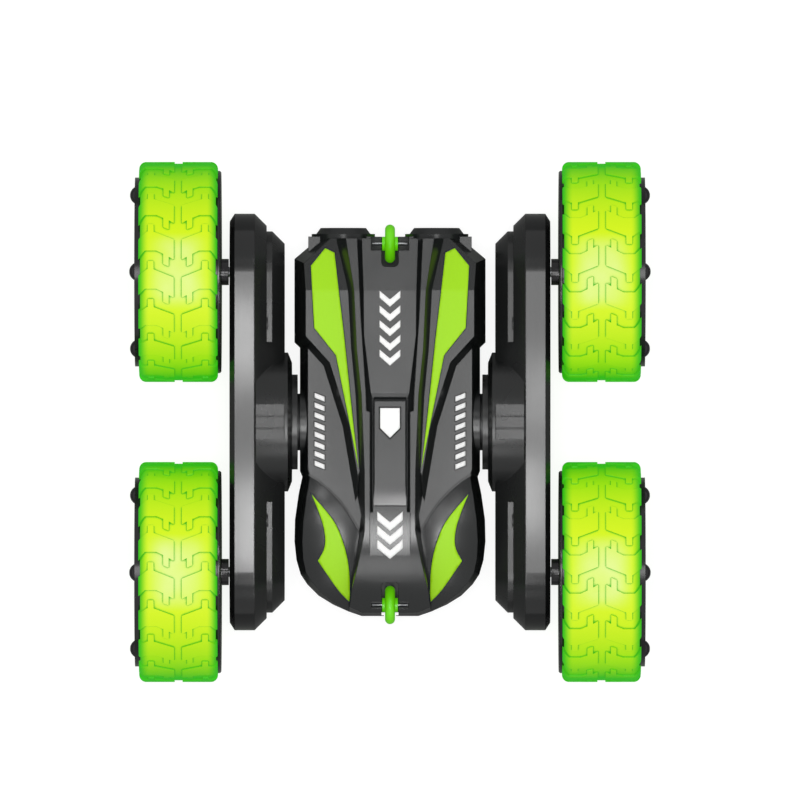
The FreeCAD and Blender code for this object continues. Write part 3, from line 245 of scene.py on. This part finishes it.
def printed_ink(name, colour, roughness):
    """Pad-printed ink, cured: an even, half-matt film with a trace of the pad's texture."""
    made, tree, shader, place = new_material(name, {"IOR": 1.48, "Roughness": roughness})
    pad = add(tree, "ShaderNodeTexNoise", {"Vector": place, "Scale": 1 / (0.5 * MM), "Detail": 2.0})
    tone = add(tree, "ShaderNodeMix", {0: pad.outputs[0], 6: tinted(colour, 0.97),
                                       7: tinted(colour, 1.03)}, data_type="RGBA")
    bump = add(tree, "ShaderNodeBump", {"Height": pad.outputs[0], "Distance": 0.003 * MM})
    tree.links.new(tone.outputs[2], shader.inputs["Base Color"])
    tree.links.new(bump.outputs[0], shader.inputs["Normal"])
    return made


def wound_rotor(name, copper, steel):
    """Enamelled copper wound round a stack of steel sheets, which shows as fine rings."""
    made, tree, shader, place = new_material(name, {"Metallic": 1.0, "Roughness": 0.35})
    sheets = add(tree, "ShaderNodeTexWave", {"Vector": place, "Scale": 1 / (1.0 * MM)}, bands_direction="X")
    tone = add(tree, "ShaderNodeMix", {0: sheets.outputs[1], 6: tinted(copper), 7: tinted(steel)},
               data_type="RGBA")
    bump = add(tree, "ShaderNodeBump", {"Height": sheets.outputs[1], "Distance": 0.02 * MM})
    tree.links.new(tone.outputs[2], shader.inputs["Base Color"])
    tree.links.new(bump.outputs[0], shader.inputs["Normal"])
    return made


def glass_laminate(name, mask, copper):
    """Glass-fibre laminate under a green solder mask, with the weave and tracks showing through."""
    made, tree, shader, place = new_material(name, {"IOR": 1.55, "Roughness": 0.3})
    tracks = add(tree, "ShaderNodeTexVoronoi", {"Vector": place, "Scale": 1 / (2.5 * MM)},
                 feature="DISTANCE_TO_EDGE", distance="CHEBYCHEV")
    track = add(tree, "ShaderNodeMapRange", {0: tracks.outputs[0], 1: 0.08, 2: 0.05})
    weave = add(tree, "ShaderNodeTexBrick", {"Vector": place, "Scale": 1 / (0.8 * MM)})
    tone = add(tree, "ShaderNodeMix", {0: track.outputs[0], 6: tinted(mask), 7: tinted(copper, 0.5)},
               data_type="RGBA")
    bump = add(tree, "ShaderNodeBump", {"Height": weave.outputs["Fac"], "Distance": 0.01 * MM})
    tree.links.new(tone.outputs[2], shader.inputs["Base Color"])
    tree.links.new(bump.outputs[0], shader.inputs["Normal"])
    return made


# Prints: thin films that follow the shell's surface

def curve_through(points, steps=8):
    """A smooth line through the points, from the first to the last."""
    line = []
    for index in range(len(points) - 1):
        ends = [Vector(points[max(0, min(len(points) - 1, index + shift))]) for shift in (-1, 0, 1, 2)]
        for step in range(steps):
            t = step / steps
            line.append(0.5 * (2 * ends[1] + (ends[2] - ends[0]) * t
                               + (2 * ends[0] - 5 * ends[1] + 4 * ends[2] - ends[3]) * t ** 2
                               + (3 * ends[1] - ends[0] - 3 * ends[2] + ends[3]) * t ** 3))
    return line


def grown(outline, distance):
    """An outline whose edges all moved outwards."""
    points = [Vector(point) for point in outline]
    count = len(points)
    area = sum(points[i - 1].x * points[i].y - points[i].x * points[i - 1].y for i in range(count))
    turn = 1 if area > 0 else -1
    moved = []
    for index in range(count):
        before = (points[index] - points[index - 1]).normalized()
        after = (points[(index + 1) % count] - points[index]).normalized()
        normals = [Vector((edge.y, -edge.x)) * turn for edge in (before, after)]
        middle = (normals[0] + normals[1]).normalized()
        moved.append(points[index] + middle * distance / max(0.35, middle.dot(normals[0])))
    return moved


def holds(outline, point):
    """Whether a point lies inside an outline."""
    inside = False
    for first, second in zip(outline, outline[1:] + outline[:1]):
        if (first.y > point.y) != (second.y > point.y):
            crossing = first.x + (point.y - first.y) / (second.y - first.y) * (second.x - first.x)
            inside = inside != (point.x < crossing)
    return inside


def film_mesh(outline, spacing):
    """Points and triangles that fill an outline, no further apart than the spacing."""
    border = []
    for first, second in zip(outline, outline[1:] + outline[:1]):
        count = max(1, math.ceil((second - first).length / spacing))
        border += [first.lerp(second, step / count) for step in range(count)]
    low = Vector((min(p.x for p in border), min(p.y for p in border)))
    high = Vector((max(p.x for p in border), max(p.y for p in border)))
    tight = grown(outline, -0.4 * spacing)
    points = list(border)
    for row in range(1, math.ceil((high.y - low.y) / spacing)):
        for column in range(math.ceil((high.x - low.x) / spacing) + 1):
            point = low + Vector((column + 0.5 * (row % 2), row)) * spacing
            if holds(tight, point):
                points.append(point)
    filled = delaunay_2d_cdt(points, [], [list(range(len(border)))], 1, 1e-7)
    return filled[0], filled[2]


def surface_tree(nodes):
    """The CAD surfaces of some nodes, to drop points on."""
    vertices, faces = [], []
    for name in nodes:
        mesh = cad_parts[name].data
        start = len(vertices)
        vertices += [vertex.co.copy() for vertex in mesh.vertices]
        faces += [[start + index for index in polygon.vertices] for polygon in mesh.polygons]
    return BVHTree.FromPolygons(vertices, faces)


def print_film(name, outlines, lift, thickness, material, surface):
    """One print made of closed outlines in metres, dropped onto the surface from above."""
    vertices, faces = [], []
    for outline in outlines:
        points, triangles = film_mesh([Vector(point) for point in outline], PRINT_SPACING)
        start = len(vertices)
        for point in points:
            hit = surface.ray_cast(Vector((point.x, point.y, 1.0)), Vector((0, 0, -1)))[0]
            if hit is None:
                raise RuntimeError(f"print {name} reaches past the shell at {tuple(point)}")
            vertices.append((point.x, point.y, hit.z + lift))
        for a, b, c in triangles:
            p, q, r = points[a], points[b], points[c]
            upward = (q.x - p.x) * (r.y - p.y) - (r.x - p.x) * (q.y - p.y) > 0
            faces.append([start + a, start + b, start + c] if upward else [start + a, start + c, start + b])
    mesh = bpy.data.meshes.new(name)
    mesh.from_pydata(vertices, [], faces)
    mesh.materials.append(material)
    mesh.shade_smooth()
    piece = bpy.data.objects.new(name, mesh)
    bpy.context.scene.collection.objects.link(piece)
    solid = piece.modifiers.new("Film", "SOLIDIFY")
    solid.thickness = thickness
    solid.offset = 1.0
    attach(piece, "car_body")


def flipped(outline):
    """The same outline on the car's other side."""
    return [(-x, y) for x, y in outline]


def scaled(outline):
    """An outline in millimetres brought to metres."""
    return [(x * MM, y * MM) for x, y in outline]


# Settings

class StuntCarFinishes(bpy.types.PropertyGroup):
    shell: colour_of("Shell", "Dark grey ABS of the body", "#191b1b")
    arm: colour_of("Arms", "Black ABS of the two arms", "#191a1a")
    hub: colour_of("Hubs", "Glossy black ABS of the drums", "#19181b")
    # The tyre's edge, flank and middle colours are laid out by how straight the tyre faces up or down, which
    # is painted light; the hot spot is a painted highlight, and the tread lines are painted shade in the
    # creases.
    tyre_edge: colour_of("Tyre edge", "Tyre where little light comes through", "#34cf0c")
    tyre_between: colour_of("Tyre flank", "Tyre between its edge and its lit middle", "#a6ee00")
    tyre_middle: colour_of("Tyre middle", "Tyre where the lamps light it", "#d8f800")
    tyre_centre: colour_of("Tyre hot spot", "Tyre right in front of a lamp", "#e6fa90")
    tyre_crease_shade: colour_of("Tread lines", "Walls between the tread blocks", "#44bc1a")
    guide: colour_of("Guide wheels", "Green ABS of the two guide wheels", "#62c80c")
    zinc: colour_of("Zinc", "Zinc plating of pins, axles and screws", "#b4b6b8")
    acetal: colour_of("Gears", "White acetal of the gears", "#e8e6df")
    brass: colour_of("Brass", "Brass of the motor pinions", "#c9a24e")
    can: colour_of("Motor cans", "Galvanised steel of the motors", "#a9abad")
    copper: colour_of("Copper", "Enamelled copper of the windings", "#b0562e")
    mask: colour_of("Solder mask", "Green of the circuit boards", "#0e5a2c")
    wrap: colour_of("Battery wrap", "Blue film shrunk on the battery", "#1d4fa3")
    knob: colour_of("Switch knob", "Black of the power switch", "#141414")
    lead: colour_of("Leads", "Red PVC of the wires", "#b3191c")
    tyre_light: FloatProperty(name="Tyre light", description="How strongly the tyres shine",
                              subtype="FACTOR", min=0.0, max=1.0, default=0.55)


class StuntCarPrints(bpy.types.PropertyGroup):
    green: colour_of("Green ink", "Blades and leaves", "#a3e100")
    outline: colour_of("Outline ink", "Thin line round the green prints", "#241f45")
    white: colour_of("White ink", "Chevrons, badge and ticks", "#fbfbfa")
    black: colour_of("Black ink", "Line round the badge and the ticks", "#101010")
    film: length_of("Film", "Thickness of one print", 0.05)
    border: length_of("Border", "Width of the line round the green prints", 0.22)
    badge_border: length_of("Badge border", "Width of the line round the badge", 0.4)


class StuntCarStudio(bpy.types.PropertyGroup):
    floor: colour_of("Floor", "Pale floor", "#f2f2f2")
    view_width: length_of("View width", "Width of the picture at the axles' height", 240.0)
    view_x: length_of("View across", "Picture's middle, right of the car's", 3.0)
    view_y: length_of("View along", "Picture's middle, behind the car's", 6.6)
    camera_height: length_of("Camera height", "Camera above the axles", 7500.0)


# Operators

class STUNTCAR_OT_shells(bpy.types.Operator):
    """Dress the body's shells, hatch, door, nozzles and pivot sleeves"""
    bl_idname = "stuntcar.shells"
    bl_label = "Body shells"

    def execute(self, context):
        look = context.scene.stunt_car_finishes
        # ABS from a polished tool: dark and smooth, so flats mirror the light above and slopes go black
        shell = moulded_plastic("ABS_polished", look.shell, roughness=0.24, ior=ABS_IOR, grain=0.6,
                                grain_depth=0.002, edge=0.22)
        give(shell, ["upper_shell", "hood_hatch"])
        # ABS from a blasted tool: the unseen belly is a little duller, with a fine sand grain
        belly = moulded_plastic("ABS_blasted", look.shell, roughness=0.38, ior=ABS_IOR, grain=0.25,
                                grain_depth=0.012, edge=0.2)
        give(belly, ["lower_shell", "battery_door", "tail_nozzles", "pivot_sleeves"])
        return {"FINISHED"}


class STUNTCAR_OT_arms(bpy.types.Operator):
    """Dress the cases of both arms"""
    bl_idname = "stuntcar.arms"
    bl_label = "Arms"

    def execute(self, context):
        look = context.scene.stunt_car_finishes
        # ABS with a satin sheen: its flat band mirrors the small lamps above as silver patches
        outer = moulded_plastic("ABS_satin", look.arm, roughness=0.16, ior=ABS_IOR, grain=0.8,
                                grain_depth=0.001, edge=0.3)
        give(outer, ["arm_outer_case_" + side for side in SIDES])
        # The same ABS from a duller tool
        inner = moulded_plastic("ABS_satin_inner", look.arm, roughness=0.26, ior=ABS_IOR, grain=0.5,
                                grain_depth=0.004, edge=0.25)
        give(inner, ["arm_inner_case_" + side for side in SIDES])
        return {"FINISHED"}


class STUNTCAR_OT_tyres(bpy.types.Operator):
    """Dress the four tyres, which shine from inside"""
    bl_idname = "stuntcar.tyres"
    bl_label = "Tyres"

    def execute(self, context):
        look = context.scene.stunt_car_finishes
        colours = {"edge": look.tyre_edge, "between": look.tyre_between, "middle": look.tyre_middle,
                   "centre": look.tyre_centre, "line": look.tyre_crease_shade}
        give(lit_rubber("TPR_translucent", colours, look.tyre_light), ["tyre_" + wheel for wheel in WHEELS])
        return {"FINISHED"}


class STUNTCAR_OT_hubs(bpy.types.Operator):
    """Dress the drums behind the tyres"""
    bl_idname = "stuntcar.hubs"
    bl_label = "Hubs"

    def execute(self, context):
        look = context.scene.stunt_car_finishes
        # High-gloss ABS: a sharp small highlight on each rivet
        gloss = moulded_plastic("ABS_high_gloss", look.hub, roughness=0.14, ior=ABS_IOR, grain=1.2,
                                grain_depth=0.001, edge=0.25)
        give(gloss, [part + "_" + wheel for part in ("hub", "inner_disc") for wheel in WHEELS])
        return {"FINISHED"}


class STUNTCAR_OT_guide_wheels(bpy.types.Operator):
    """Dress the green guide wheels at nose and tail"""
    bl_idname = "stuntcar.guide_wheels"
    bl_label = "Guide wheels"

    def execute(self, context):
        look = context.scene.stunt_car_finishes
        # Through-coloured fluorescent ABS, with a soft highlight along the round rim. It glows a little:
        # painted light, an even emission of its own colour, though the wheel holds no lamp.
        give(moulded_plastic("ABS_fluorescent", look.guide, roughness=0.35, ior=ABS_IOR, grain=0.5,
                             grain_depth=0.002, edge=0.15, lamp_and_painted_glow=0.35),
             ["nose_wheel", "tail_wheel"])
        return {"FINISHED"}


class STUNTCAR_OT_steel_parts(bpy.types.Operator):
    """Dress the pins, axles and screws"""
    bl_idname = "stuntcar.steel_parts"
    bl_label = "Steel parts"

    def execute(self, context):
        look = context.scene.stunt_car_finishes
        # Zinc-plated steel wire, ground: grey, half bright, with lines along the pin
        give(plated_metal("Steel_zinc_ground", look.zinc, 0.3, 0.15),
             ["axle_" + wheel for wheel in WHEELS] + ["gear_pins_" + side for side in SIDES]
             + ["guide_wheel_pins"])
        # Zinc-plated steel, headed: the same grey, duller and mottled
        give(plated_metal("Steel_zinc_headed", look.zinc, 0.42, 0.4),
             ["case_screws_" + side for side in SIDES] + ["body_screws"])
        return {"FINISHED"}


class STUNTCAR_OT_drive(bpy.types.Operator):
    """Dress the gears and motors"""
    bl_idname = "stuntcar.drive"
    bl_label = "Gears and motors"

    def execute(self, context):
        look = context.scene.stunt_car_finishes
        # Acetal, moulded: milky white and waxy
        give(moulded_plastic("Acetal_moulded", look.acetal, roughness=0.35, ior=ACETAL_IOR, grain=0.3,
                             grain_depth=0.004, edge=0.1),
             [part + "_" + wheel for part in ("wheel_gear", "compound_gear", "idler_gear")
              for wheel in WHEELS])
        # Brass, hobbed: warm yellow with cutting lines along the teeth
        give(plated_metal("Brass_hobbed", look.brass, 0.28, 0.2), ["motor_pinion_" + side for side in SIDES])
        # Galvanised steel, drawn: pale grey with long faint lines
        give(plated_metal("Steel_galvanised_drawn", look.can, 0.36, 0.3), ["motor_" + side for side in SIDES])
        give(wound_rotor("Copper_on_steel_sheets", look.copper, look.can),
             ["motor_rotor_" + side for side in SIDES])
        return {"FINISHED"}


class STUNTCAR_OT_electrics(bpy.types.Operator):
    """Dress the boards, battery, switch and wires"""
    bl_idname = "stuntcar.electrics"
    bl_label = "Electrics"

    def execute(self, context):
        look = context.scene.stunt_car_finishes
        give(glass_laminate("FR4_solder_mask", look.mask, look.copper),
             ["circuit_board"] + ["light_board_" + wheel for wheel in WHEELS])
        # PVC film, shrunk: glossy blue with soft wrinkles
        give(moulded_plastic("PVC_shrunk", look.wrap, roughness=0.25, ior=PVC_IOR, grain=2.5,
                             grain_depth=0.05, edge=0.3), ["battery_pack"])
        # Polyamide, moulded: matt black
        give(moulded_plastic("Polyamide_moulded", look.knob, roughness=0.5, ior=POLYAMIDE_IOR,
                             grain=0.2, grain_depth=0.01, edge=0.1), ["power_switch"])
        # PVC, extruded: even red with a waxy shine
        give(moulded_plastic("PVC_extruded", look.lead, roughness=0.35, ior=PVC_IOR, grain=0.4,
                             grain_depth=0.004, edge=0.1), ["wiring"])
        return {"FINISHED"}


class STUNTCAR_OT_flank_prints(bpy.types.Operator):
    """Print the green blades and leaves on both sides"""
    bl_idname = "stuntcar.flank_prints"
    bl_label = "Green prints"

    BLADE = [(19.4, 52.1), (16.6, 50.7), (15.3, 39.1), (13.7, 25.7), (11.25, 2.1), (9.4, -13.8),
             (12.6, 2.1), (16.2, 20.0), (22.7, 28.2), (23.7, 46.8)]
    LEAF_SIDES = [[(23.5, -21.6), (17.1, -29.3), (14.1, -35.8), (12.4, -43.1), (12.0, -50.9), (12.2, -53.9)],
                  [(12.2, -53.9), (15.8, -50.0), (21.6, -41.6)],
                  [(21.6, -41.6), (19.9, -38.4), (19.4, -35.4), (19.9, -31.5), (21.4, -26.8), (23.5, -21.6)]]

    def execute(self, context):
        look = context.scene.stunt_car_prints
        # Pad-printed ink: the green lies on a slightly wider dark print
        green = printed_ink("Ink_green", look.green, 0.55)
        dark = printed_ink("Ink_dark_violet", look.outline, 0.45)
        surface = surface_tree(["upper_shell"])
        leaf = [point for side in self.LEAF_SIDES for point in curve_through(side)]
        for name, shape in (("blade", self.BLADE), ("leaf", leaf)):
            for side, outline in (("right", scaled(shape)), ("left", flipped(scaled(shape)))):
                print_film(f"{name}_border_{side}", [grown(outline, look.border)], PRINT_LIFT, look.film,
                           dark, surface)
                print_film(f"{name}_{side}", [outline], PRINT_LIFT + look.film, look.film, green, surface)
        return {"FINISHED"}


class STUNTCAR_OT_middle_prints(bpy.types.Operator):
    """Print the chevrons, the badge and the side ticks"""
    bl_idname = "stuntcar.middle_prints"
    bl_label = "White prints"

    BADGE = [(2.95, 4.2), (2.95, -1.8), (0, -4.7), (-2.95, -1.8), (-2.95, 4.2)]
    TICK = [(19.6, 0), (22.6, 1.2), (22.6, -0.3), (19.6, -1.5)]
    TICK_COUNT, TICK_FIRST, TICK_PITCH = 8, 7.6, 2.9

    def chevrons(self, first, count, pitch, half_width, edge, middle, drop):
        """Outlines of chevrons that point to the nose, from the tail end on."""
        shapes = []
        for index in range(count):
            top = first - index * pitch
            shapes.append(scaled([(half_width, top), (0, top - drop), (-half_width, top),
                                  (-half_width, top - edge), (0, top - middle - drop),
                                  (half_width, top - edge)]))
        return shapes

    def execute(self, context):
        look = context.scene.stunt_car_prints
        white = printed_ink("Ink_white", look.white, 0.5)
        black = printed_ink("Ink_black", look.black, 0.5)
        shell = surface_tree(["upper_shell"])
        tail = self.chevrons(first=39.3, count=5, pitch=4.4, half_width=3.1, edge=2.05, middle=2.2,
                             drop=2.6)
        nose = self.chevrons(first=-26.8, count=3, pitch=4.2, half_width=3.8, edge=2.58, middle=2.58,
                             drop=3.2)
        print_film("chevrons_tail", tail, PRINT_LIFT, look.film, white, shell)
        print_film("chevrons_nose", nose, PRINT_LIFT, look.film, white, shell)
        badge = scaled(self.BADGE)
        hatch = surface_tree(["hood_hatch"])
        print_film("badge_border", [grown(badge, look.badge_border)], PRINT_LIFT, look.film, black, hatch)
        print_film("badge", [badge], PRINT_LIFT + look.film, look.film, white, hatch)
        ticks = []
        for index in range(self.TICK_COUNT):
            along = self.TICK_FIRST - self.TICK_PITCH * index
            ticks.append(scaled([(x, along + y) for x, y in self.TICK]))
        for side, shapes in (("right", ticks), ("left", [flipped(shape) for shape in ticks])):
            print_film(f"ticks_border_{side}", [grown(shape, look.border) for shape in shapes], PRINT_LIFT,
                       look.film, black, shell)
            print_film(f"ticks_{side}", shapes, PRINT_LIFT + look.film, look.film, white, shell)
        return {"FINISHED"}


class STUNTCAR_OT_studio(bpy.types.Operator):
    """Set the floor, the lamps, the world and the camera"""
    bl_idname = "stuntcar.studio"
    bl_label = "Studio"

    FLOOR_REACH = 4.0
    FLOOR_DROP = 0.2 * MM
    # Light that the floor gives off where it is seen, and the shares of its paint's colour that
    # it gives back where it is seen and to all other rays
    FLOOR_SHOWN = 0.85
    SHARE_SHOWN, SHARE_OTHERS = 0.3, 0.25
    SOFTBOX_HEIGHT = 2.3
    SOFTBOX_SIZE = (0.5, 0.5)
    GLOSS_POWER, FILL_POWER = 3.0, 22.0
    ROOM_LIGHT = 0.55
    SENSOR_WIDTH = 36.0
    NEAREST, FARTHEST = 0.1, 20.0

    # Small lamps that show only in gloss, as soft streaks: place and aim over the ground and size
    # in millimetres, and power in watts. Two stand off the nose, one off the tail and four over
    # the arms.
    STREAKS = [((0, -137, 375), (0, -35, 50), (40, 110), 0.27),
               ((0, -253, 260), (0, -45, 45), (50, 90), 0.06),
               ((0, 161, 360), (0, 48, 50), (24, 60), 0.03), ((-45, 25, 200), (-45, 25, 0), (12, 26), 0.011),
               ((-41, -31, 200), (-41, -31, 0), (12, 26), 0.014), ((46, 9, 200), (46, 9, 0), (12, 20), 0.005),
               ((41, -23, 200), (41, -23, 0), (12, 24), 0.009)]

    def floor_paint(self, colour):
        """Matt paint that keeps the shadow: white to the camera and through glass, dark to other rays.

        Reflections on the car are among the other rays, so gloss mirrors a dark floor.
        """
        made, tree, shader, place = new_material("Paint_matt_white", {"Roughness": 0.9, "IOR": 1.45})
        speckle = add(tree, "ShaderNodeTexNoise", {"Vector": place, "Scale": 1 / (3 * MM)})
        tone = add(tree, "ShaderNodeMix", {0: speckle.outputs[0], 6: tinted(colour, 0.99),
                                           7: tinted(colour)}, data_type="RGBA")
        rays = add(tree, "ShaderNodeLightPath")
        shown = add(tree, "ShaderNodeMath", {0: rays.outputs["Is Camera Ray"],
                                             1: rays.outputs["Is Transmission Ray"]}, operation="MAXIMUM")
        lifted = add(tree, "ShaderNodeMix", {0: shown.outputs[0], 6: (0.0, 0.0, 0.0, 1.0),
                                             7: (self.FLOOR_SHOWN,) * 3 + (1.0,)}, data_type="RGBA")
        kept = add(tree, "ShaderNodeMapRange", {0: shown.outputs[0], 3: self.SHARE_OTHERS,
                                                4: self.SHARE_SHOWN})
        coat = add(tree, "ShaderNodeVectorMath", {0: tone.outputs[2], "Scale": kept.outputs[0]},
                   operation="SCALE")
        shader.inputs["Specular IOR Level"].default_value = 0.0
        shader.inputs["Emission Strength"].default_value = 1.0
        tree.links.new(coat.outputs[0], shader.inputs["Base Color"])
        tree.links.new(lifted.outputs[2], shader.inputs["Emission Color"])
        return made

    def lamp(self, name, place, aim, size, power):
        """An area lamp at a place in metres, facing a point."""
        light = bpy.data.lights.new(name, "AREA")
        light.shape = "RECTANGLE"
        light.size, light.size_y = size
        light.energy = power
        holder = bpy.data.objects.new(name, light)
        holder.location = place
        holder.rotation_mode = "QUATERNION"
        holder.rotation_quaternion = (Vector(aim) - Vector(place)).to_track_quat("-Z", "Y")
        holder.visible_camera = False
        bpy.context.scene.collection.objects.link(holder)
        return holder

    def execute(self, context):
        look = context.scene.stunt_car_studio
        reach = self.FLOOR_REACH
        mesh = bpy.data.meshes.new("floor")
        corners = [(-reach, -reach), (reach, -reach), (reach, reach), (-reach, reach)]
        mesh.from_pydata([(x, y, -self.FLOOR_DROP) for x, y in corners], [], [(0, 1, 2, 3)])
        mesh.materials.append(self.floor_paint(look.floor))
        floor = bpy.data.objects.new("floor", mesh)
        context.scene.collection.objects.link(floor)

        middle, above = (0, 0, AXLE_HEIGHT), (0, 0, self.SOFTBOX_HEIGHT)
        self.lamp("softbox_top", above, middle, self.SOFTBOX_SIZE, self.GLOSS_POWER)
        fill = self.lamp("fill", above, middle, self.SOFTBOX_SIZE, self.FILL_POWER)
        fill.visible_glossy = False
        for place, aim, size, power in self.STREAKS:
            place, aim, size = [[value * MM for value in values] for values in (place, aim, size)]
            self.lamp("streak", place, aim, size, power).visible_diffuse = False

        world = bpy.data.worlds.new("studio")
        world.use_nodes = True
        tree = world.node_tree
        tree.nodes.clear()
        room = add(tree, "ShaderNodeBackground", {"Color": (1.0, 1.0, 1.0, 1.0),
                                                  "Strength": self.ROOM_LIGHT})
        add(tree, "ShaderNodeOutputWorld", {"Surface": room.outputs[0]})
        context.scene.world = world

        lens = bpy.data.cameras.new("camera")
        lens.sensor_width = self.SENSOR_WIDTH
        lens.lens = lens.sensor_width * look.camera_height / look.view_width
        lens.clip_start, lens.clip_end = self.NEAREST, self.FARTHEST
        camera = bpy.data.objects.new("camera", lens)
        camera.location = (look.view_x, look.view_y, AXLE_HEIGHT + look.camera_height)
        context.scene.collection.objects.link(camera)
        context.scene.camera = camera
        context.scene.view_settings.view_transform = "Standard"
        return {"FINISHED"}


STEPS = [STUNTCAR_OT_shells, STUNTCAR_OT_arms, STUNTCAR_OT_tyres, STUNTCAR_OT_hubs,
         STUNTCAR_OT_guide_wheels, STUNTCAR_OT_steel_parts, STUNTCAR_OT_drive, STUNTCAR_OT_electrics,
         STUNTCAR_OT_flank_prints, STUNTCAR_OT_middle_prints, STUNTCAR_OT_studio]


class STUNTCAR_PT_sidebar(bpy.types.Panel):
    bl_label = "Stunt Car"
    bl_idname = "STUNTCAR_PT_sidebar"
    bl_space_type = "VIEW_3D"
    bl_region_type = "UI"
    bl_category = "Stunt Car"

    def draw(self, context):
        for step in STEPS:
            self.layout.operator(step.bl_idname)
        for name in SETTINGS:
            settings = getattr(context.scene, name)
            for key in settings.bl_rna.properties.keys():
                if key not in ("rna_type", "name"):
                    self.layout.prop(settings, key)


SETTINGS = {"stunt_car_finishes": StuntCarFinishes, "stunt_car_prints": StuntCarPrints,
            "stunt_car_studio": StuntCarStudio}


def register():
    for kind in [*SETTINGS.values(), *STEPS, STUNTCAR_PT_sidebar]:
        bpy.utils.register_class(kind)
    for name, kind in SETTINGS.items():
        setattr(bpy.types.Scene, name, PointerProperty(type=kind))


def unregister():
    for name in SETTINGS:
        delattr(bpy.types.Scene, name)
    for kind in reversed([*SETTINGS.values(), *STEPS, STUNTCAR_PT_sidebar]):
        bpy.utils.unregister_class(kind)


def main():
    register()
    for step in STEPS:
        group, name = step.bl_idname.split(".")
        getattr(getattr(bpy.ops, group), name)()


if __name__ == "__main__":
    main()
